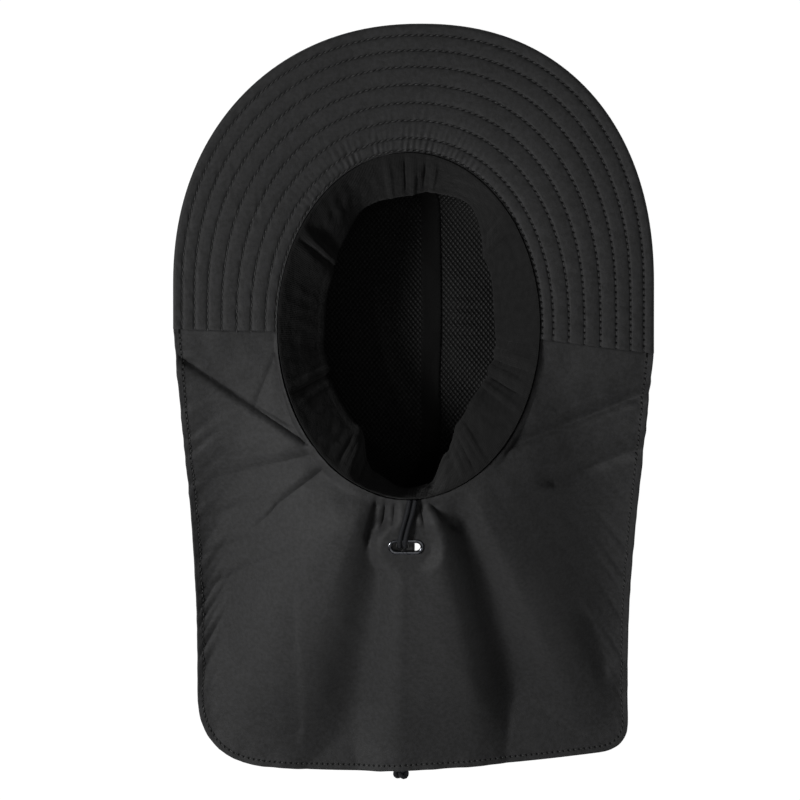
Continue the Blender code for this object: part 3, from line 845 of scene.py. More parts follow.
class Finish(Enum):
    """The finishes of the hat, each with the recipe that makes it."""

    SHELL = ShellCloth()
    QUILT = ShellCloth(name="quilted_cloth", pitch=0.0038)
    HEMMED = ShellCloth(name="hemmed_cloth", pitch=0.0034)
    BAND = BandKnit()
    MESH = OpenMesh()
    TAPE = WovenTape()
    THREAD = SewingThread()
    CORD = BraidedCord()
    NICKEL = DarkNickel()
    PLASTIC = MouldedPlastic()


class Wardrobe:
    """Makes each finish once and dresses the pieces in it."""

    def __init__(self) -> None:
        """Starts with no material made."""
        self.made: dict[Finish, bpy.types.Material] = {}

    def material(self, finish: Finish) -> bpy.types.Material:
        """The material of a finish, made when it is first asked for."""
        if finish not in self.made:
            self.made[finish] = finish.value.make()
        return self.made[finish]

    def dress(self, piece: bpy.types.Object, finish: Finish) -> bpy.types.Object:
        """Gives a new piece its material and slot, and lets it ride on the hat.

        Args:
            piece: the new piece.
            finish: its finish.

        Returns:
            The same piece.
        """
        piece.data.materials.append(self.material(finish))
        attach(piece, "root")
        log.info("%s: %d faces in %s", piece.name, len(piece.data.polygons), finish.name.lower())
        return piece


@dataclass(frozen=True)
class Opening:
    """The head opening, an oval with its long axis from front to back."""

    half_width: float = 0.0794
    half_length: float = 0.1046
    rim: float = 0.088
    gap: float = 0.0003

    def plan(self, turn: Array, scale: Array | float = 1.0, margin: float = 0.0) -> Array:
        """Plan points of the oval: half-sizes, scaled and widened, times cosine and sine of the turn."""
        angle = np.radians(turn)
        return np.stack(
            [
                (self.half_width * scale + margin) * np.cos(angle),
                (self.half_length * scale + margin) * np.sin(angle),
            ],
            axis=-1,
        )


@dataclass(frozen=True)
class Section:
    """A section of the crown: its width and height as shares of the opening and the depth."""

    width: float
    height: float


@dataclass(frozen=True)
class Dent:
    """A dent of the crown's wall: where it is, how wide, and how deep as a share of the depth."""

    turn: float
    height: float
    spread: float
    depth: float


@dataclass
class Crown:
    """The crown, its mesh lining and the tape over its middle seam."""

    opening: Opening
    wall: float = 0.0012
    lean: float = 0.011
    dent_height: float = 0.28
    lining_wall: float = 0.0010
    tape_width: float = 0.0118
    tape_wall: float = 0.0009
    tape_shift: float = 0.0035
    tape_seat: float = 0.0005
    tape_ends: tuple[float, float] = (0.90, 0.56)
    tape_flat: float = 0.66
    tape_length: float = 0.26
    crease_depth: float = 0.0007
    seam_allowance: float = 0.0032
    ripples: tuple[float, float, float] = (0.034, 0.010, 0.008)
    bulge: tuple[float, float] = (-0.008, -0.082)
    columns: int = 260
    sections: tuple[Section, ...] = (
        Section(1.000, 1.00),
        Section(1.006, 0.88),
        Section(1.000, 0.72),
        Section(0.985, 0.54),
        Section(0.955, 0.36),
        Section(0.910, 0.19),
        Section(0.850, 0.065),
        Section(0.775, 0.00),
        Section(0.520, 0.00),
        Section(0.260, 0.00),
        Section(0.000, 0.00),
    )
    dents: tuple[Dent, ...] = (
        Dent(128.0, 0.45, 16.0, 0.050),
        Dent(222.0, 0.40, 14.0, 0.045),
        Dent(352.0, 0.42, 12.0, 0.040),
        Dent(20.0, 0.55, 10.0, -0.020),
        Dent(170.0, 0.30, 18.0, -0.025),
        Dent(268.0, 0.35, 20.0, 0.030),
    )

    def profile(self, down: Array) -> tuple[Array, Array]:
        """Width and height this share down the sections, rounded over each by a running mean.

        Args:
            down: shares down the sections.

        Returns:
            Widths and heights, as shares of the opening and the depth.
        """
        rows = np.linspace(0.0, 1.0, len(self.sections))
        spread = 0.35 / (len(self.sections) - 1)
        width = np.zeros_like(down)
        height = np.zeros_like(down)
        for offset in (-1.0, -0.5, 0.0, 0.5, 1.0):
            at = np.clip(down + offset * spread * smooth(down * 12.0) * smooth((1.0 - down) * 12.0), 0.0, 1.0)
            width += np.interp(at, rows, [row.width for row in self.sections]) / 5.0
            height += np.interp(at, rows, [row.height for row in self.sections]) / 5.0
        return width, height

    def dented(self, turn: Array, width: Array, height: Array, creases: Array | float = 0.0) -> Array:
        """Places on the outer face: the oval times the width, pulled in by the dents, and leaning.

        Args:
            turn: degrees round the oval.
            width: widths as shares of the opening.
            height: heights as shares of the depth.
            creases: what fine creases pull it in further, in metres.

        Returns:
            Places in the layout of the widths.
        """
        inward = np.zeros_like(width)
        for dent in self.dents:
            near = bell(turn_gap(turn, dent.turn), dent.spread)
            inward += dent.depth * near * bell(height - dent.height, self.dent_height)
        inward *= self.opening.rim * smooth(height / 0.1) * smooth((1.0 - height) / 0.3)
        plan = self.opening.plan(turn, 1.0, self.wall) * width[..., None]
        plan = plan - unit(plan) * (inward + creases)[..., None]
        depth = self.opening.rim - self.opening.gap
        points = np.concatenate([plan, (depth * height)[..., None]], axis=-1)
        points[..., 0] += self.lean * (1.0 - height) ** 2
        return points

    def surface(self, turn: Array, down: Array, inset: float) -> Array:
        """The crown's outer face, moved in by a distance.

        A point is the oval times the section's width, pulled in by the dents, moved sideways by
        the lean times the squared share of depth, and then moved along the surface's normal.

        Args:
            turn: degrees round the oval, a row.
            down: shares down the sections, a column.
            inset: distance inwards in metres.

        Returns:
            Places, rows by columns by 3.
        """
        turn, down = np.broadcast_arrays(turn, down)
        width, height = self.profile(down)
        creases = waves(turn * 0.004, height * 0.05, 0.012, 5) * smooth((0.45 - height) / 0.4)
        creases = self.crease_depth * creases * smooth(height / 0.05)
        points = self.dented(turn, width, height, creases)
        normal = grid_normals(points, wrapped=True)
        normal[down > 0.995] = (0.0, 0.0, 1.0)
        return points + normal * inset

    def lay(self, points: Array) -> Array:
        """Cloth coordinates: the way out from the tip's middle, as long as the path on the cloth.

        Args:
            points: places of the crown, from its rim to its tip.

        Returns:
            A pair in metres for each place.
        """
        steps = np.linalg.norm(np.diff(points, axis=0), axis=2)
        lengths = np.concatenate([np.cumsum(steps[::-1], axis=0)[::-1], np.zeros((1, points.shape[1]))])
        way = points[..., :2] - points[-1, 0, :2]
        return unit(way) * lengths[..., None]

    def shell_piece(self) -> bpy.types.Object:
        """The crown's own cloth, with a low ridge over its middle seam."""
        turn = np.linspace(0.0, 360.0, self.columns + 1)[None, :]
        down = np.linspace(0.0, 1.0, 96)[:, None]
        outer = self.surface(turn, down, 0.0)
        inner = self.surface(turn, down, self.wall)
        seam = self.seam_gap(outer)
        ridge = bell(seam, 0.0022) * 0.00035 - bell(seam - self.seam_allowance, 0.0007) * 0.0003
        ridge = ridge * smooth((self.profile(down)[1] - 0.05) / 0.1)
        loose = waves(outer[..., 0], outer[..., 1] + outer[..., 2], 0.018, 8) * smooth(outer[..., 2] / 0.01)
        shown = outer - grid_normals(outer, wrapped=True) * (ridge + 0.00022 * loose)[..., None]
        return walled("crown_cloth", shown, inner, self.lay(outer), wrapped=True, pole=True)

    def seam_gap(self, points: Array) -> Array:
        """How far each point lies to the side of the crown's middle seam."""
        height = points[..., 2] / self.opening.rim
        middle = self.lean * (1.0 - height) ** 2 + self.tape_shift * smooth(1.0 - height)
        return np.abs(points[..., 0] - middle)

    def seam_stitches(self) -> list[tuple[Array, Array, float]]:
        """Runs of thread on both sides of the crown's middle seam, on its outer face."""
        runs = []
        for ahead in (90.0, 270.0):
            for side in (-self.seam_allowance, self.seam_allowance):
                down = np.linspace(0.02, 0.62, 160)[:, None]
                width, height = self.profile(down)
                offset = self.tape_shift * smooth(1.0 - height) + side
                lean = np.degrees(np.arcsin(offset / (self.opening.half_width * width)))
                turn = ahead - lean if ahead < 180.0 else ahead + lean
                fan = turn + np.array([[-0.4, 0.0, 0.4]])
                points = self.surface(fan, down, 0.0)
                normal = unit(np.cross(points[:, 2] - points[:, 0], np.gradient(points[:, 1], axis=0)))
                runs.append((points[:, 1], -normal, 0.0001))
        return runs

    def lining_piece(self) -> bpy.types.Object:
        """The mesh lining, a little loose: it lies in soft ripples inside the crown."""
        turn = np.linspace(0.0, 360.0, self.columns + 1)[None, :]
        down = np.linspace(0.1, 1.0, 90)[:, None]
        seat = self.wall + self.opening.gap
        base = self.surface(turn, down, seat)
        face = self.surface(turn, down, seat + self.lining_wall)
        x, y = face[..., 0], face[..., 1]
        loose = 0.5 + 0.5 * waves(x, y + face[..., 2] * 0.7, 0.032, 21)
        ripple_x, ripple_y, ripple_pitch = self.ripples
        ripple = bell(x - ripple_x, 0.014) * bell(y - ripple_y, 0.020)
        ripple = ripple * (0.5 + 0.5 * np.sin(y * math.tau / ripple_pitch))
        bulge = bell(x - self.bulge[0], 0.010) * bell(y - self.bulge[1], 0.008)
        clear = smooth(np.abs(self.seam_gap(face)) / 0.012 - 0.5)
        lift = (0.0016 * loose + 0.0012 * ripple) * clear + 0.0022 * bulge
        lift = lift * smooth((down - 0.1) / 0.06)
        normal = grid_normals(face, wrapped=True)
        normal[-1] = (0.0, 0.0, 1.0)
        return walled(
            "mesh_lining_cloth", face + normal * lift[..., None], base, self.lay(face), wrapped=True, pole=True
        )

    def tape_piece(self) -> bpy.types.Object:
        """The seam tape: down the front wall, over the tip and up the rear wall."""
        along = np.linspace(0.0, 1.0, 240)[:, None]
        across = np.linspace(-0.5, 0.5, 13)[None, :]
        along, across = np.broadcast_arrays(along, across)
        wander = 0.0006 * waves(along * self.tape_length, 0.0, 0.050, 33)
        offset = (self.tape_shift + wander) * np.sin(math.pi * along) + across * self.tape_width
        heights = [row.height for row in self.sections]
        shares = np.linspace(0.0, 1.0, len(heights))
        wall = sum(height > 0.0 for height in heights)
        ends = [np.interp(-top, [-h for h in heights[:wall]], shares[:wall]) for top in self.tape_ends]
        first = np.where(along < 0.5, ends[0], ends[1])
        down = mix(1.0, first, np.abs(1.0 - 2.0 * along))
        width, height = self.profile(down)
        half = np.maximum(self.opening.half_width * width, 2.0 * self.tape_width)
        lean = np.degrees(np.arcsin(offset / half))
        turn = np.where(along < 0.5, 90.0 - lean, 270.0 + lean)
        seat = self.wall + self.opening.gap + self.lining_wall + self.tape_seat
        points = self.dented(turn, width, height)
        level = smooth((down - self.tape_flat) / 0.05)[..., None]
        flat_y = np.where(along < 0.5, 1.0, -1.0) * self.opening.half_length * width
        flat = np.stack([self.lean + offset, flat_y, np.zeros_like(flat_y)], axis=-1)
        points = mix(points, flat, level)
        normal = unit(np.cross(np.gradient(points, axis=0), np.gradient(points, axis=1)))
        inner = unit(np.array([self.lean, 0.0, self.opening.rim * 0.7]) - points)
        normal *= np.where((normal * inner).sum(-1, keepdims=True) < 0.0, -1.0, 1.0)
        edge = np.abs(across) * 2.0
        thick = self.tape_wall * (0.75 + 0.25 * (1.0 - edge**6)) + 0.00012 * bell(edge - 0.86, 0.05)
        uneven = waves(along * 0.25, across * 0.01, 0.016, 31) * bell(edge, 0.9)
        thick = np.maximum(thick + 0.00035 * uneven, 0.0005)
        top = points + normal * (seat + thick)[..., None]
        bottom = points + normal * seat
        lay = np.stack([along * self.tape_length, across * self.tape_width], axis=-1)
        return walled("seam_tape_cloth", top, bottom, lay)

    def build(self, wardrobe: Wardrobe) -> None:
        """Builds and dresses the crown, its seam thread, the lining and the tape."""
        shell = wardrobe.dress(self.shell_piece(), Finish.SHELL)
        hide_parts("crown_shell")
        stitches = Thread(pitch=0.0032, length=0.0024).sew("crown_stitches", self.seam_stitches())
        wardrobe.dress(stitches, Finish.THREAD)
        lining = wardrobe.dress(self.lining_piece(), Finish.MESH)
        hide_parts("mesh_lining")
        tape = wardrobe.dress(self.tape_piece(), Finish.TAPE)
        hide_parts("seam_tape")


@dataclass(frozen=True)
class Pleat:
    """A fold of the sweatband: its turn and spread in degrees, and its height as shares of the width."""

    turn: float
    spread: float
    sewn: float
    free: float


@dataclass
class Band:
    """The sweatband, gathered round the opening and leaning into the crown."""

    opening: Opening
    width: float = 0.036
    wall: float = 0.0012
    proud: float = 0.0030
    wrinkle: float = 0.012
    bow: float = 0.009
    hem_width: float = 0.0052
    hem_height: float = 0.00030
    edge_radius: float = 0.0007
    columns: int = 720
    rows: int = 34
    reach: tuple[tuple[float, float], ...] = (
        (7.0, 0.672),
        (30.0, 0.716),
        (57.0, 0.875),
        (78.0, 0.825),
        (94.0, 0.775),
        (115.0, 0.790),
        (138.0, 0.720),
        (159.0, 0.666),
        (180.0, 0.655),
        (195.0, 0.692),
        (214.0, 0.690),
        (236.0, 0.706),
        (252.0, 0.900),
        (268.0, 0.960),
        (280.0, 0.945),
        (292.0, 0.800),
        (304.0, 0.680),
        (320.0, 0.645),
        (340.0, 0.688),
    )
    pleats: tuple[Pleat, ...] = (
        Pleat(84.0, 4.0, 0.040, 0.020),
        Pleat(96.0, 4.0, 0.045, -0.010),
        Pleat(140.0, 5.0, -0.050, 0.030),
        Pleat(152.0, 5.0, 0.045, 0.020),
        Pleat(196.0, 5.0, 0.020, 0.070),
        Pleat(205.0, 5.0, -0.040, -0.040),
        Pleat(240.0, 5.0, 0.050, 0.020),
        Pleat(300.0, 5.0, 0.050, -0.020),
        Pleat(338.0, 5.0, -0.040, 0.050),
        Pleat(350.0, 5.0, 0.045, -0.030),
        Pleat(38.0, 5.0, 0.050, 0.020),
        Pleat(48.0, 5.0, -0.035, 0.010),
    )
    crease_scale: float = 1.7
    creases: tuple[Pleat, ...] = (
        Pleat(78.0, 1.2, 0.030, 0.006),
        Pleat(82.5, 1.1, -0.028, 0.004),
        Pleat(88.0, 1.3, 0.036, 0.010),
        Pleat(92.0, 1.0, -0.030, 0.000),
        Pleat(100.0, 1.4, 0.026, 0.008),
        Pleat(146.0, 1.6, 0.045, 0.026),
        Pleat(149.0, 1.2, -0.035, -0.010),
        Pleat(201.0, 1.3, 0.030, 0.060),
        Pleat(203.5, 1.0, -0.030, -0.045),
        Pleat(208.0, 1.4, 0.020, 0.020),
        Pleat(236.0, 1.4, -0.030, 0.010),
        Pleat(241.0, 1.3, 0.038, 0.012),
        Pleat(246.0, 1.2, -0.025, -0.010),
        Pleat(296.0, 1.3, 0.036, 0.014),
        Pleat(301.0, 1.1, -0.030, -0.008),
        Pleat(306.0, 1.3, 0.024, 0.006),
        Pleat(330.0, 1.3, 0.028, 0.018),
        Pleat(335.0, 1.1, -0.030, -0.020),
        Pleat(339.0, 1.2, 0.034, 0.028),
        Pleat(344.0, 1.0, -0.030, -0.022),
        Pleat(348.0, 1.3, 0.036, 0.024),
        Pleat(354.0, 1.1, -0.022, -0.010),
        Pleat(36.0, 1.4, 0.030, 0.018),
        Pleat(42.0, 1.2, -0.026, -0.006),
    )

    def lean(self, turn: Array) -> Array:
        """How far in the free edge lies: the rows' reach with a smooth step from each to the next."""
        rows = np.array([self.reach[-1], *self.reach, self.reach[0]])
        rows[0, 0] -= 360.0
        rows[-1, 0] += 360.0
        return stepped(turn % 360.0, rows[:, 0], rows[:, 1])

    def folded(self, folds: tuple[Pleat, ...], turn: Array, down: Array) -> Array:
        """Height of folds in shares of the width: a bell round each, which drifts on its way in.

        Args:
            folds: the folds that are added up.
            turn: degrees round the oval.
            down: shares of the width.

        Returns:
            The summed height at each place.
        """
        lift = np.zeros_like(down)
        for fold in folds:
            near = bell(turn_gap(turn, fold.turn + 3.0 * fold.free * down), fold.spread)
            lift += near * (fold.sewn * np.sin(math.pi * down) + fold.free * down**2)
        return lift

    def surface(self, turn: Array, down: Array) -> Array:
        """The band's outer face, from the sewn oval straight down and in to the free edge.

        The fall is the root of the squared width less the squared lean, and the folds lift the
        cloth square to that slope.

        Args:
            turn: degrees round the oval, a row.
            down: shares of the width, a column.

        Returns:
            Places, rows by columns by 3.
        """
        turn, down = np.broadcast_arrays(turn, down)
        sewn = self.opening.plan(turn, 1.0, -self.opening.gap)
        free = sewn * self.lean(turn)[..., None]
        lean = np.linalg.norm(sewn - free, axis=-1)
        fall = np.sqrt(self.width**2 - lean**2)
        plan = sewn + (free - sewn) * down[..., None]
        lift = self.folded(self.pleats, turn, down)
        lift += self.folded(self.creases, turn, down) * self.crease_scale
        arc = np.radians(turn) * self.opening.half_length
        loose = waves(arc, down * self.width, 0.014, 41) * np.sin(math.pi * np.minimum(down * 1.2, 1.0))
        lift += self.wrinkle * loose + self.bow * np.sin(math.pi * down)
        lift *= self.width
        inward = -unit(plan) * (lift * fall / self.width)[..., None]
        height = self.opening.rim + self.proud - fall * down + lift * lean / self.width
        return np.concatenate([plan + inward, height[..., None]], axis=-1)

    def build(self, wardrobe: Wardrobe) -> None:
        """Builds the band with its turned free edge."""
        turn = np.linspace(0.0, 360.0, self.columns + 1)[None, :]
        down = np.linspace(0.0, 1.0, self.rows)[:, None]
        outer = self.surface(turn, down)
        normal = grid_normals(outer, wrapped=True)
        distance = down * self.width
        hem = smooth((distance - (self.width - self.hem_width)) / 0.0006) * self.hem_height
        rolled = rounded_edge(np.minimum(distance, self.width - distance), self.edge_radius, 0.12)
        middle = outer + normal * (self.wall / 2)
        half = (self.wall / 2 * rolled)[..., None]
        top = middle + normal * (half + hem[..., None])
        mean_radius = (self.opening.half_width + self.opening.half_length) / 2
        lay = np.stack(np.broadcast_arrays(np.radians(turn) * mean_radius, distance), axis=-1)
        band = walled("sweatband_cloth", top, middle - normal * half, lay, wrapped=True)
        wardrobe.dress(band, Finish.BAND)
        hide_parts("sweatband")


@dataclass
class Brim:
    """The quilted front brim: two cloths over a stiffener, sewn through in rows along its edge."""

    opening: Opening
    front: float = 0.1805
    half_width: float = 0.1444
    shift: float = 0.0027
    widest: float = 0.0240
    skew: float = 0.0045
    roundness: float = 2.18
    wall: float = 0.0025
    rise_front: float = 0.009
    rise_side: float = 0.003
    curl: float = 1.3
    seam_turns: tuple[float, float] = (-4.6, 182.0)
    seam_back: tuple[float, float] = (0.0168, 0.0020)
    rows: tuple[float, ...] = (0.014, 0.112, 0.250, 0.388, 0.530, 0.668, 0.795, 0.912)
    columns: int = 600
    depth: float = 0.066
    gather_run: float = 0.30
    edge_run: float = 0.55
    rib_height: float = 0.00046
    sewn_depth: float = 0.00034
    pucker_height: float = 0.00020
    wave_height: float = 0.00035
    binding_width: float = 0.0030
    binding_height: float = 0.00022
    under_share: float = 0.8

    def __post_init__(self) -> None:
        """Works out the outer edge once."""
        reach = self.front - self.widest
        turn = np.radians(np.linspace(0.0, 180.0, 91))
        power = 2.0 / self.roundness
        x = self.half_width * np.sign(np.cos(turn)) * np.abs(np.cos(turn)) ** power
        y = reach * np.abs(np.sin(turn)) ** power
        arc = np.stack([self.shift + x + self.skew * (y / reach) ** 2, self.widest + y], axis=1)
        start = (self.shift + self.half_width, -self.seam_back[0])
        end = (self.shift - self.half_width, -self.seam_back[1])
        self.edge = Outline([start, *arc, end])

    def surface(self, around: Array, out: Array, level: float = 0.0) -> Array:
        """The brim's lower face, raised square to it by a level.

        A point lies this share of the way from the oval to the outer edge in plan, and rises by
        the share to the power of the curl.

        Args:
            around: shares from the right seam over the front to the left one, a row.
            out: shares from the opening to the edge, a column.
            level: distance above the lower face.

        Returns:
            Places, rows by columns by 3.
        """
        around, out = np.broadcast_arrays(around, out)
        inner = self.opening.plan(mix(self.seam_turns[0], self.seam_turns[1], around))
        plan = inner + (self.edge.at(around) - inner) * out[..., None]
        plan[..., 1] += self.opening.gap / 2
        rise = mix(self.rise_side, self.rise_front, np.sin(math.pi * around) ** 1.5)
        height = self.opening.rim + rise * out**self.curl
        points = np.concatenate([plan, height[..., None]], axis=-1)
        if level == 0.0:
            return points
        return points - grid_normals(points) * level

    def relief(self, around: Array, out: Array, points: Array) -> Array:
        """Height of the quilting: ribs between the rows, sewn lines, puckers and gathers.

        Between two rows the cloth bulges as a power of a half sine. Each row is a narrow bell.
        The gathers are waves along the edge that are strongest at the opening over the front,
        and the puckers are irregular waves near each row.

        Args:
            around: shares along the brim.
            out: shares across it.
            points: places of the face.

        Returns:
            Heights in metres.
        """
        lines = np.array((-0.02, *self.rows, 1.02))
        k = np.clip(np.searchsorted(lines, out, side="right") - 1, 0, len(lines) - 2)
        share = (out - lines[k]) / (lines[k + 1] - lines[k])
        bulge = self.rib_height * np.sin(math.pi * np.clip(share, 0.0, 1.0)) ** 0.7
        gap = self.row_gap(around, out)
        length = run_lengths(points)
        sewn = -self.sewn_depth * bell(gap, 0.0008)
        front = bell(around - 0.50, 0.24)
        arc = around * self.gather_run
        gather = waves(arc, out * 0.004, 0.0027, 3, 7)
        strong = front * (0.00016 * bell(out - 0.05, 0.10) + 0.00009 * bell(out, 0.45))
        pucker = waves(length, out * 0.03, 0.0070, 12) * bell(gap, 0.0042)
        broad = waves(points[..., 0], points[..., 1], 0.055, 17)
        loose = self.pucker_height * pucker + self.wave_height * broad * smooth(out / 0.2)
        return bulge + sewn + gather * strong + loose

    def row_gap(self, around: Array, out: Array) -> Array:
        """Distance to the nearest row of stitches.

        Args:
            around: shares along the brim.
            out: shares across it.

        Returns:
            Distances in metres.
        """
        inner = self.opening.plan(mix(*self.seam_turns, around))
        depth = np.linalg.norm(self.edge.at(around) - inner, axis=-1)
        gaps = [np.abs(out - row) * depth for row in self.rows]
        return np.min(np.broadcast_arrays(*gaps), axis=0)

    def build(self, wardrobe: Wardrobe) -> None:
        """Builds the brim's body, and the thread of its rows on both faces."""
        around = np.linspace(0.0, 1.0, self.columns)[None, :]
        close = np.array([-0.018, -0.009, 0.0, 0.009, 0.018])
        out = np.concatenate([np.linspace(0.0, 1.0, 34)] + [row + close for row in self.rows])
        out = np.append(out, (0.985, 0.992, 0.996))
        out = np.unique(np.clip(out, 0.0, 1.0))[:, None]
        lower = self.surface(around, out)
        normal = -grid_normals(lower)
        inwards = (1.0 - out) * self.depth
        rolled = rounded_edge(np.minimum(inwards, out * self.depth + 0.0009), 0.0016, 0.10)
        binding = self.binding_height * smooth((self.binding_width - inwards) / 0.0006)
        ends = np.minimum(around, 1.0 - around) * self.edge_run
        taper = rounded_edge(ends + 0.0004, 0.0014, 0.2)
        middle = lower + normal * (self.wall / 2)
        half = self.wall / 2 * rolled * taper
        relief = self.relief(around, out, lower) * rolled
        top = middle + normal * (half + relief + binding)[..., None]
        under = relief * self.under_share
        bottom = middle - normal * (half + under * smooth(out / 0.05) - 0.0002)[..., None]
        lay = np.stack([run_lengths(lower), self.row_gap(around, out)], axis=-1)
        brim = walled("brim_cloth", top, bottom, lay)
        wardrobe.dress(brim, Finish.QUILT)
        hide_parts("brim")
        runs_top, runs_under = [], []
        share = np.linspace(0.0, 1.0, 900)[None, :]
        for row in self.rows:
            near = self.surface(share, np.array([[row - 0.005], [row], [row + 0.005]]))
            upward = -grid_normals(near)[1]
            level = self.relief(share, np.array([[row]]), near[1:2])[0]
            runs_top.append((near[1], upward, self.wall + level + 0.00004))
            runs_under.append((near[1], -upward, level * self.under_share - 0.00014))
        thread = Thread()
        wardrobe.dress(thread.sew("brim_stitches", runs_top), Finish.THREAD)
        wardrobe.dress(thread.sew("brim_stitches_under", runs_under[1:]), Finish.THREAD)


@dataclass(frozen=True)
class Fold:
    """A fold of the flap along a line in its own two directions; sizes in metres.

    Its wall is steep on the left of the way from its start to its end and gentle on the right.
    """

    around: float
    out: float
    to_around: float
    to_out: float
    steep: float
    gentle: float
    depth: float


@dataclass(frozen=True)
class Drape:
    """Height of the fanned folds at a share round the flap."""

    around: float
    height: float


@dataclass
class Flap:
    """The neck flap, which falls from the opening's rear half to a hem on the floor."""

    opening: Opening
    brim: Brim
    length: float = 0.1766
    half_widths: tuple[float, float] = (0.1360, 0.1410)
    wall: float = 0.0012
    corners: tuple[float, float] = (0.044, 0.019)
    hem_rises: tuple[float, float] = (0.0078, 0.0140)
    hem_lowest: float = -0.0190
    waist: float = 0.0045
    hem_width: float = 0.0038
    knot_across: float = -0.0048
    knot_lift: float = 0.0066
    lift_spread: float = 0.040
    eyelet_place: tuple[float, float] = (-0.0018, -0.1329)
    eyelet_slope: float = 0.25
    flat_sizes: tuple[float, float] = (0.0190, 0.0150)
    hole: tuple[float, float] = (0.0193, 0.0071)
    columns: int = 400
    hem_run: float = 0.75
    pucker_height: float = 0.00042
    wrinkle_height: float = 0.00075
    tuck_share: float = 0.0016
    tuck_depth: float = 0.0012
    folds: tuple[Fold, ...] = (
        Fold(0.218, 0.02, 0.020, 0.985, 0.0024, 0.0320, 0.0034),
        Fold(0.165, 0.07, 0.022, 0.95, 0.0014, 0.0030, 0.0007),
        Fold(0.122, 0.98, 0.242, 0.05, 0.0042, 0.0300, 0.0032),
        Fold(0.245, 0.29, 0.290, 0.02, 0.0030, 0.0180, 0.0028),
        Fold(0.153, 0.98, 0.195, 0.50, 0.0026, 0.0180, 0.0011),
        Fold(0.183, 0.98, 0.220, 0.60, 0.0024, 0.0160, 0.0011),
        Fold(0.213, 0.98, 0.260, 0.55, 0.0028, 0.0220, 0.0020),
        Fold(0.352, 0.42, 0.405, 0.85, 0.0018, 0.0090, 0.0012),
        Fold(0.100, 0.30, 0.040, 0.03, 0.0016, 0.0050, 0.0006),
        Fold(0.970, 0.985, 0.772, 0.01, 0.0028, 0.0070, 0.0040),
        Fold(0.960, 0.985, 0.765, 0.01, 0.0120, 0.0300, 0.0024),
        Fold(0.980, 0.95, 0.905, 0.22, 0.0014, 0.0060, 0.0010),
        Fold(0.926, 0.98, 0.815, 0.32, 0.0028, 0.0080, 0.0028),
        Fold(0.730, 0.70, 0.715, 0.82, 0.0060, 0.0120, 0.0022),
        Fold(0.590, 0.11, 0.555, 0.01, 0.0016, 0.0050, 0.0034),
        Fold(0.425, 0.14, 0.428, 0.01, 0.0018, 0.0050, 0.0034),
        Fold(0.452, 0.12, 0.450, 0.01, 0.0014, 0.0036, 0.0034),
        Fold(0.475, 0.10, 0.472, 0.01, 0.0013, 0.0030, 0.0028),
        Fold(0.540, 0.10, 0.532, 0.01, 0.0013, 0.0036, 0.0026),
        Fold(0.520, 0.02, 0.500, 0.13, 0.0040, 0.0050, 0.0030),
    )
    drape: tuple[Drape, ...] = (
        Drape(0.300, 0.0000),
        Drape(0.394, 0.0070),
        Drape(0.453, -0.0115),
        Drape(0.500, 0.0020),
        Drape(0.562, 0.0094),
        Drape(0.614, -0.0162),
        Drape(0.665, -0.0010),
        Drape(0.750, 0.0000),
    )
    drape_starts: float = 0.12
    drape_full: float = 0.45
    drape_fades: float = 0.60
    drape_at_start: float = 0.55
    drape_at_hem: float = 0.40

    def __post_init__(self) -> None:
        """Works out the hem's outline once."""
        hem_y = -self.opening.half_length - self.length
        seam_left = (self.brim.shift - self.brim.half_width, -self.brim.seam_back[1])
        seam_right = (self.brim.shift + self.brim.half_width, -self.brim.seam_back[0])
        corner_left = (-self.half_widths[0], hem_y + self.hem_rises[0])
        corner_right = (self.half_widths[1], hem_y + self.hem_rises[1])
        middle = (self.hem_lowest, hem_y)
        left = bowed_run(seam_left, corner_left, self.waist)
        hem = bowed_run(corner_left, middle, -self.waist / 2)[:-1]
        hem += bowed_run(middle, corner_right, -self.waist / 2)
        right = bowed_run(corner_right, seam_right, self.waist)
        turned = rounded_corner(left, hem, self.corners[0], self.corners[0])
        self.edge = Outline(rounded_corner(turned, right, self.corners[1], self.corners[1]))

    def plan(self, around: Array, out: Array) -> Array:
        """Plan points: this share of the way from the oval to the outline."""
        turn = mix(self.brim.seam_turns[1], self.brim.seam_turns[0] + 360.0, around)
        inner = self.opening.plan(turn)
        return inner + (self.edge.at(around) - inner) * np.asarray(out)[..., None]

    def hem_height(self, around: Array) -> Array:
        """Height of the hem: level with the brim at the seams, on the floor at the corners.

        Args:
            around: shares from the left seam to the right one.

        Returns:
            Heights in metres.
        """
        plan = self.edge.at(around)
        left = plan[..., 0] < 0.0
        back = np.where(left, self.brim.seam_back[1], self.brim.seam_back[0])
        rise = np.where(left, self.hem_rises[0], self.hem_rises[1])
        run = (-back - plan[..., 1]) / (self.length + self.opening.half_length - rise - back)
        fall = 1.0 - smooth(np.clip(run, 0.0, 1.0) ** 0.92)
        lift = self.knot_lift * bell(plan[..., 0] - self.knot_across, self.lift_spread)
        return (self.opening.rim + self.brim.rise_side) * fall + lift * smooth((run - 0.8) / 0.2)

    def fold_depth(self, plan: Array) -> Array:
        """Depth of all folds: for each a bell of the distance to its line, wider on its right.

        Args:
            plan: plan points of the flap.

        Returns:
            The summed depths in metres.
        """
        depth = np.zeros(plan.shape[:-1])
        for fold in self.folds:
            start = self.plan(np.array(fold.around), np.array(fold.out))
            way = self.plan(np.array(fold.to_around), np.array(fold.to_out)) - start
            share = np.clip(((plan - start) @ way) / (way @ way), 0.0, 1.0)
            offset = plan - start - way * share[..., None]
            gap = np.linalg.norm(offset, axis=-1)
            left = way[0] * offset[..., 1] - way[1] * offset[..., 0]
            length = np.linalg.norm(way)
            side = smooth(0.5 + left / (length * fold.steep * 1.2))
            width = mix(fold.gentle, fold.steep, side)
            depth += fold.depth * bell(gap, width)
        return depth

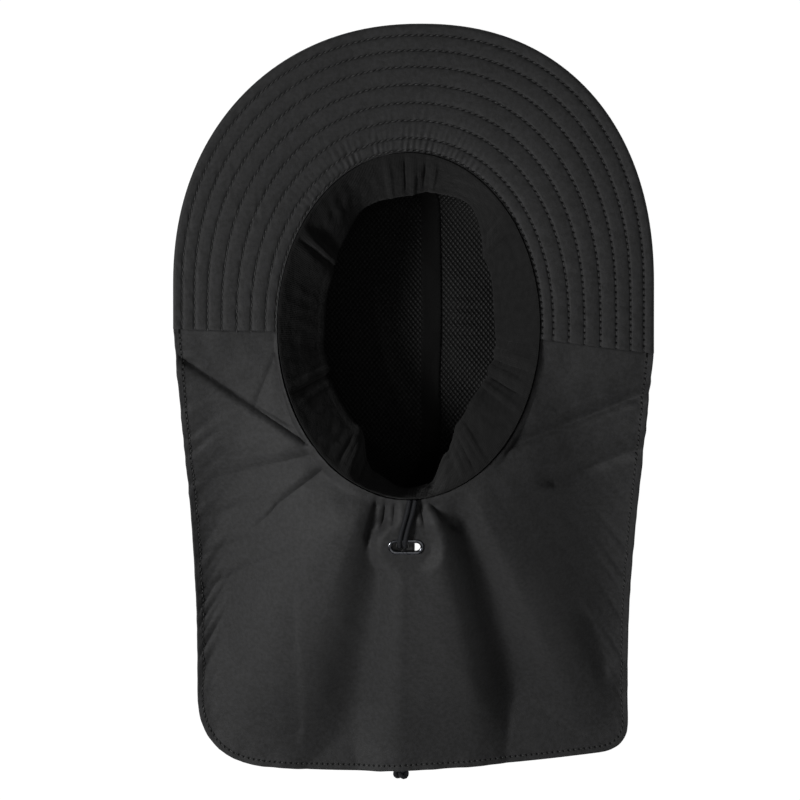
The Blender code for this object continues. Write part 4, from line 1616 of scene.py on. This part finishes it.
    def drape_height(self, around: Array, out: Array) -> Array:
        """How far the fanned folds raise the cloth: less near the opening and near the hem.

        Args:
            around: shares from the left seam to the right one.
            out: shares from the opening to the hem.

        Returns:
            Heights in metres, negative in the valleys.
        """
        shares = np.array([row.around for row in self.drape])
        height = stepped(around, shares, np.array([row.height for row in self.drape]))
        grown = smooth(out / self.drape_starts) * mix(self.drape_at_start, 1.0, smooth(out / self.drape_full))
        late = smooth((out - self.drape_fades) / (1.0 - self.drape_fades))
        return height * grown * mix(1.0, self.drape_at_hem, late)

    def edge_gap(self, around: Array, out: Array) -> Array:
        """Distance to the hem: the rest of the way out times the sine between way and hem.

        Args:
            around: shares from the left seam to the right one.
            out: shares from the opening to the hem.

        Returns:
            Distances in metres.
        """
        ray = self.plan(around, np.ones_like(around)) - self.plan(around, np.zeros_like(around))
        step = 0.002
        ahead = self.edge.at(np.clip(around + step, 0, 1)) - self.edge.at(np.clip(around - step, 0, 1))
        ahead = unit(ahead)
        sine = np.abs(ray[..., 0] * ahead[..., 1] - ray[..., 1] * ahead[..., 0])
        return (1.0 - out) * sine

    def surface(self, around: Array, out: Array) -> Array:
        """The flap's lower face with its folds, level round the eyelet.

        The height falls from the rim to the hem's height by a smooth step of the share, near the
        seams by the brim's own power, less the folds' depth and with fine creases.

        Args:
            around: shares from the left seam to the right one, a row.
            out: shares from the opening to the hem, a column.

        Returns:
            Places, rows by columns by 3.
        """
        around, out = np.broadcast_arrays(around, out)
        plan = self.plan(around, out)
        side = np.sin(math.pi * around)
        beside = np.minimum(1.0, side * 2.5)
        fall = mix(out**self.brim.curl, smooth(out), beside)
        height = mix(self.opening.rim, self.hem_height(around), fall)
        fade = smooth(out / 0.035) * smooth(side / 0.06)
        height = height + self.drape_height(around, out) - self.fold_depth(plan) * fade
        gap = self.edge_gap(around, out)
        inside = smooth(out / 0.06)
        x, y = plan[..., 0], plan[..., 1]
        height = height + inside * (0.00060 * waves(x, y, 0.045, 52) + 0.00022 * waves(x, y, 0.016, 53))
        along = around * self.hem_run
        flank = smooth((np.abs(around - 0.5) - 0.20) / 0.05)
        pucker = waves(along, gap * 0.3, 0.0085, 54) * bell(gap - self.hem_width, 0.006)
        wrinkle = waves(along, gap * 0.12, 0.013, 55) * bell(gap - self.hem_width, 0.016) * flank
        puckered = self.pucker_height * pucker + self.wrinkle_height * wrinkle
        height = height + puckered * smooth((gap + 0.002) / 0.004)
        flat = self.eyelet_level() + self.eyelet_slope * (y - self.eyelet_place[1])
        height = mix(flat, height, smooth((self.eyelet_share(x, y) - 0.78) / 0.56))
        points = np.concatenate([plan, np.maximum(height, 0.0)[..., None]], axis=-1)
        points[..., 1] -= self.opening.gap / 2
        tuck = np.clip(1.0 - np.minimum(around, 1.0 - around) / self.tuck_share, 0.0, 1.0)
        points[..., 1] += self.tuck_depth * tuck
        points[..., 2] -= self.tuck_depth * mix(1.4, 0.6, smooth((out - 0.8) / 0.15)) * tuck**2
        return points

    def eyelet_share(self, x: Array, y: Array) -> Array:
        """Distance from the eyelet's middle in shares of the flat's half sizes."""
        across = (x - self.eyelet_place[0]) / self.flat_sizes[0]
        return np.hypot(across, (y - self.eyelet_place[1]) / self.flat_sizes[1])

    def eyelet_level(self) -> float:
        """Height of the lower face at the middle of the eyelet."""
        behind = -self.opening.half_length - self.eyelet_place[1]
        return float(self.opening.rim * (1.0 - smooth(behind / self.length)))

    def eyelet_frame(self) -> tuple[Array, Array, Array]:
        """The eyelet's middle in the cloth, the cloth's normal there and its way to the rear."""
        tilt = math.atan(self.eyelet_slope)
        normal = np.array([0.0, -math.sin(tilt), math.cos(tilt)])
        rearward = np.array([0.0, -math.cos(tilt), -math.sin(tilt)])
        place = np.array([*self.eyelet_place, self.eyelet_level()])
        place[1] -= self.opening.gap / 2
        return place + normal * self.wall / 2, normal, rearward

    def build(self, wardrobe: Wardrobe) -> None:
        """Builds the flap's cloth with its turned hem, and the hem's thread on both faces."""
        close = np.array([0.25, 0.5, 0.75, 1.0]) * self.tuck_share
        around = np.linspace(0.0, 1.0, self.columns)
        around = np.unique(np.concatenate([around, close, 1.0 - close]))[None, :]
        out = np.concatenate(
            [
                np.linspace(0.0, 0.25, 34),
                np.linspace(0.25, 0.94, 52)[1:],
                np.linspace(0.94, 1.0, 24)[1:],
            ]
        )[:, None]
        lower = self.surface(around, out)
        normal = -grid_normals(lower)
        gap = self.edge_gap(*np.broadcast_arrays(around, out))
        hem = smooth((self.hem_width + 0.0008 - gap) / 0.0006)
        seam = bell(gap - self.hem_width, 0.0006)
        thin = self.wall * (1.0 - rounded_edge(gap, 0.0008, 0.16)) / 2
        away = self.eyelet_share(lower[..., 0], lower[..., 1])
        top = lower + normal * (self.wall - thin + 0.00034 * hem - 0.00022 * seam)[..., None]
        bottom = lower + normal * (thin + 0.00010 * seam * smooth(away - 1.5))[..., None]
        bottom[..., 2] = np.maximum(bottom[..., 2], 0.0)
        centre = (lower[:-1, :-1] + lower[1:, 1:]) / 2
        across = np.abs(centre[..., 0] - self.eyelet_place[0])
        back = np.abs(centre[..., 1] - self.eyelet_place[1])
        straight = (self.hole[0] - self.hole[1]) / 2
        kept = np.hypot(np.maximum(across - straight, 0.0), back) > self.hole[1] / 2
        line, upward, share = self.hem_line()
        along = np.interp(np.broadcast_to(around, gap.shape), share, run_lengths(line))
        lay = np.stack([along, np.abs(gap - self.hem_width)], axis=-1)
        flap = walled("neck_flap_cloth", top, bottom, lay, kept=kept)
        wardrobe.dress(flap, Finish.HEMMED)
        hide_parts("neck_flap")
        thread = Thread(pitch=0.0034, length=0.0026)
        top_thread = thread.sew("flap_stitches", [(line, upward, self.wall + 0.00016)])
        wardrobe.dress(top_thread, Finish.THREAD)
        raised = np.flatnonzero(line[:, 2] > 0.0012)
        parts = np.split(raised, np.flatnonzero(np.diff(raised) > 1) + 1)
        under = [(line[part], -upward[part], 0.00006) for part in parts if len(part) > 12]
        wardrobe.dress(thread.sew("flap_stitches_under", under), Finish.THREAD)

    def hem_line(self) -> tuple[Array, Array, Array]:
        """The hem's row of stitches: its line, the normals there and its shares round the flap."""
        share = np.linspace(0.002, 0.998, 1400)
        at = 1.0 - self.hem_width / self.edge_gap(share, np.zeros_like(share))
        fan = np.stack([at - 0.006, at, at + 0.006])
        near = self.surface(np.broadcast_to(share, fan.shape), fan)
        return near[1], -grid_normals(near)[1], share


@dataclass
class Eyelet:
    """The oblong eyelet, a pressed ring with a rolled flange on each face of the flap."""

    flap: Flap
    bore: tuple[float, float] = (0.0175, 0.0053)
    flange: float = 0.0021
    flange_wall: float = 0.0007
    barrel: float = 0.0006

    def build(self, wardrobe: Wardrobe) -> None:
        """Sweeps the ring's rounded section round its oblong bore, and closes it on itself."""
        seat = self.flap.wall / 2 + self.flap.opening.gap
        half = seat + self.flange_wall
        roll = np.radians(np.linspace(0.0, 180.0, 11))
        dome_out = self.flange / 2 - self.flange / 2 * np.cos(roll)
        dome_up = seat + (half - seat) * (0.25 + 0.75 * np.sin(roll) ** 0.8)
        out = np.concatenate([dome_out, [self.flange * 0.95, self.barrel]])
        up = np.concatenate([dome_up, [seat, seat]])
        out = np.concatenate([out, out[::-1]])
        up = np.concatenate([up, -up[::-1]])
        angle = np.linspace(0.0, math.tau, 122) + math.pi / 121
        straight = (self.bore[0] - self.bore[1]) / 2
        radius = self.bore[1] / 2 + out[:, None]
        x = np.sign(np.cos(angle)) * straight + radius * np.cos(angle)
        y = radius * np.sin(angle)
        place, normal, rearward = self.flap.eyelet_frame()
        points = (
            place
            + x[..., None] * np.array([1.0, 0.0, 0.0])
            - y[..., None] * rearward
            + np.broadcast_to(up[:, None], x.shape)[..., None] * normal
        )
        rings, columns = points.shape[0], points.shape[1] - 1
        number = np.arange(rings * columns).reshape(rings, columns)
        right, below = np.roll(number, -1, axis=1), np.roll(number, -1, axis=0)
        both = np.roll(right, -1, axis=0)
        faces = np.stack([number, right, both, below], axis=-1).reshape(-1, 4)
        places = points[:, :-1].reshape(-1, 3)
        if signed_volume(places, faces) < 0.0:
            faces = faces[:, ::-1]
        ring = wardrobe.dress(new_object("eyelet_ring", places, faces.tolist()), Finish.NICKEL)
        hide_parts("eyelet")


@dataclass
class DrawCord:
    """The draw cord: two braided strands, the lock under the eyelet and the knot at the hem."""

    diameter: float = 0.0030
    gap: float = 0.0004
    sides: int = 24
    ring_step: float = 0.00026
    braid_pitch: float = 0.0052
    braid_height: float = 0.11
    braid_turn: float = 0.4
    knot_sizes: tuple[float, float, float] = (0.0104, 0.0120, 0.0060)
    route: tuple[tuple[float, float, float], ...] = (
        (0.0021, -0.1048, 0.0912),
        (0.0009, -0.1112, 0.0906),
        (-0.0008, -0.1172, 0.0898),
        (-0.0025, -0.1232, 0.0891),
        (-0.0036, -0.1282, 0.0881),
        (-0.0039, -0.1306, 0.0869),
        (-0.0039, -0.1322, 0.0850),
        (-0.0039, -0.1329, 0.0828),
        (-0.0039, -0.1327, 0.0806),
        (-0.0039, -0.1309, 0.0734),
        (-0.0039, -0.1288, 0.0650),
        (-0.0038, -0.1275, 0.0580),
        (-0.0036, -0.1272, 0.0490),
        (-0.0032, -0.1283, 0.0390),
        (-0.0026, -0.1312, 0.0290),
        (-0.0018, -0.1360, 0.0195),
        (-0.0008, -0.1428, 0.0112),
        (0.0004, -0.1512, 0.0054),
        (0.0016, -0.1606, 0.0026),
        (0.0026, -0.1710, 0.0019),
        (0.0032, -0.1825, 0.0019),
        (0.0030, -0.1960, 0.0019),
        (0.0020, -0.2100, 0.0019),
        (0.0002, -0.2240, 0.0019),
        (-0.0018, -0.2375, 0.0019),
        (-0.0035, -0.2500, 0.0019),
        (-0.0045, -0.2620, 0.0020),
        (-0.0048, -0.2741, 0.0024),
    )

    def braid(self, steps: Array, phase: float) -> Array:
        """Radius of the braid: the higher of two crossing sets of helical ribs at each point.

        Args:
            steps: distances along the cord.
            phase: turns the pattern about the cord.

        Returns:
            Radii, rings by sides.
        """
        angle = np.linspace(0.0, math.tau, self.sides, endpoint=False)[None, :] + phase
        run = (steps * math.tau * 4.0 / self.braid_pitch)[:, None]
        left = 0.5 + 0.5 * np.cos(4.0 * angle + run)
        right = 0.5 + 0.5 * np.cos(4.0 * angle - run)
        ribs = np.maximum(left**0.7, right**0.7)
        return self.diameter / 2 * (1.0 - self.braid_height + self.braid_height * ribs)

    def strand(self, name: str, side: float) -> tuple[bpy.types.Object, Array]:
        """One strand beside the route, with its centre line.

        Args:
            name: the piece's name.
            side: -1 for the left strand and 1 for the right one.

        Returns:
            The strand and the points of its centre line.
        """
        line = smooth_curve(np.array(self.route), self.ring_step)
        line[:, 0] += side * (self.diameter + self.gap) / 2
        return tube(name, line, self.braid(run_lengths(line), self.braid_turn * side), self.sides), line

    def knot(self) -> bpy.types.Object:
        """The knot: a trefoil line of three loops, pulled tight into its box."""
        low, high = (np.array(corner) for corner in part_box("cord_knot"))
        turn = np.linspace(0.0, math.tau, 420, endpoint=False)
        line = np.stack(
            [
                np.sin(turn) + 2.0 * np.sin(2.0 * turn),
                -np.cos(turn) + 2.0 * np.cos(2.0 * turn),
                -np.sin(3.0 * turn),
            ],
            axis=1,
        )
        room = (high - low) - self.diameter
        extent = line.max(axis=0) - line.min(axis=0)
        line = (line - (line.max(axis=0) + line.min(axis=0)) / 2) / extent * room + (low + high) / 2
        steps = run_lengths(line)
        whole = steps[-1] + np.linalg.norm(line[0] - line[-1])
        steps = steps / whole * round(whole / self.braid_pitch) * self.braid_pitch
        return tube("cord_knot_braid", line, self.braid(steps, 0.0), self.sides, closed=True)

    def build(self, wardrobe: Wardrobe) -> None:
        """Builds the strands and the knot, and dresses the lock."""
        knot = wardrobe.dress(self.knot(), Finish.CORD)
        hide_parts("cord_knot")
        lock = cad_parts["cord_lock"]
        lock.data.materials.clear()
        lock.data.materials.append(wardrobe.material(Finish.PLASTIC))
        for name, side, with_pieces in (("left", -1.0, [lock, knot]), ("right", 1.0, [])):
            strand, line = self.strand(f"draw_cord_{name}_braid", side)
            wardrobe.dress(strand, Finish.CORD)
            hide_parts(f"draw_cord_{name}")


@dataclass(frozen=True)
class Lamp:
    """A square soft light: its place, the length of its side and its power in watts."""

    name: str
    place: tuple[float, float, float]
    size: float
    power: float


@dataclass
class Studio:
    """A pale floor, soft lights and a camera straight above the hat."""

    eye_height: float = 1.4
    plane: float = 0.0895
    metres_per_pixel: float = 0.6014e-3
    opening_pixel: tuple[float, float] = (409.0, 326.0)
    picture: int = 800
    sensor: float = 36.0
    aim: tuple[float, float, float] = (0.0, -0.04, 0.05)
    floor_drop: float = 0.0004
    glow: float = 0.06
    lamps: tuple[Lamp, ...] = (
        Lamp("key", (-0.80, -0.26, 0.90), 0.30, 12.8),
        Lamp("fill", (0.25, -0.35, 1.6), 1.4, 3.2),
    )

    def camera(self) -> None:
        """Places the camera above the picture's middle, so that the opening has its measured size."""
        data = bpy.data.cameras.new("camera")
        data.sensor_width = self.sensor
        data.lens = self.sensor * self.eye_height / (self.picture * self.metres_per_pixel)
        eye = bpy.data.objects.new("camera", data)
        middle = self.picture / 2
        eye.location = (
            (middle - self.opening_pixel[0]) * self.metres_per_pixel,
            (self.opening_pixel[1] - middle) * self.metres_per_pixel,
            self.plane + self.eye_height,
        )
        bpy.context.scene.collection.objects.link(eye)
        bpy.context.scene.camera = eye

    def light(self, lamp: Lamp) -> None:
        """Adds a lamp, turned so that it shines at the hat."""
        data = bpy.data.lights.new(lamp.name, "AREA")
        data.shape = "SQUARE"
        data.size = lamp.size
        data.energy = lamp.power
        made = bpy.data.objects.new(lamp.name, data)
        made.location = lamp.place
        way = np.array(self.aim) - np.array(lamp.place)
        tilt = math.atan2(math.hypot(way[0], way[1]), -way[2])
        made.rotation_euler = (tilt, 0.0, math.atan2(-way[0], way[1]))
        bpy.context.scene.collection.objects.link(made)

    def floor(self) -> None:
        """Adds the floor, white with a faint glow of its own so that it stays even."""
        mesh = bpy.data.meshes.new("floor")
        shape = bmesh.new()
        bmesh.ops.create_grid(shape, x_segments=1, y_segments=1, size=4.0)
        shape.to_mesh(mesh)
        shape.free()
        floor = bpy.data.objects.new("floor", mesh)
        floor.location = (0.0, 0.0, -self.floor_drop)
        bpy.context.scene.collection.objects.link(floor)
        graph = Graph("floor")
        graph.finish(
            Base_Color=(0.05, 0.05, 0.05, 1.0),
            Roughness=1.0,
            Specular_IOR_Level=0.0,
            Emission_Color=(1.0, 1.0, 1.0, 1.0),
            Emission_Strength=1.0,
        )
        mesh.materials.append(graph.material)

    def build(self) -> None:
        """Sets up the camera, the floor, the lights and the surroundings."""
        self.camera()
        self.floor()
        for lamp in self.lamps:
            self.light(lamp)
        world = bpy.data.worlds.new("studio")
        world.use_nodes = True
        background = world.node_tree.nodes["Background"]
        background.inputs["Color"].default_value = (1.0, 1.0, 1.0, 1.0)
        background.inputs["Strength"].default_value = self.glow
        bpy.context.scene.world = world
        bpy.context.scene.view_settings.view_transform = "Standard"


def main() -> None:
    """Builds the studio and the hat in order, and reports each piece."""
    logging.basicConfig(level=logging.INFO, format="%(name)s: %(message)s", stream=sys.stdout)
    Studio().build()
    wardrobe = Wardrobe()
    DrawCord().build(wardrobe)
    opening = Opening()
    Crown(opening).build(wardrobe)
    Band(opening).build(wardrobe)
    brim = Brim(opening)
    brim.build(wardrobe)
    flap = Flap(opening, brim)
    flap.build(wardrobe)
    Eyelet(flap).build(wardrobe)


if __name__ == "__main__":
    main()
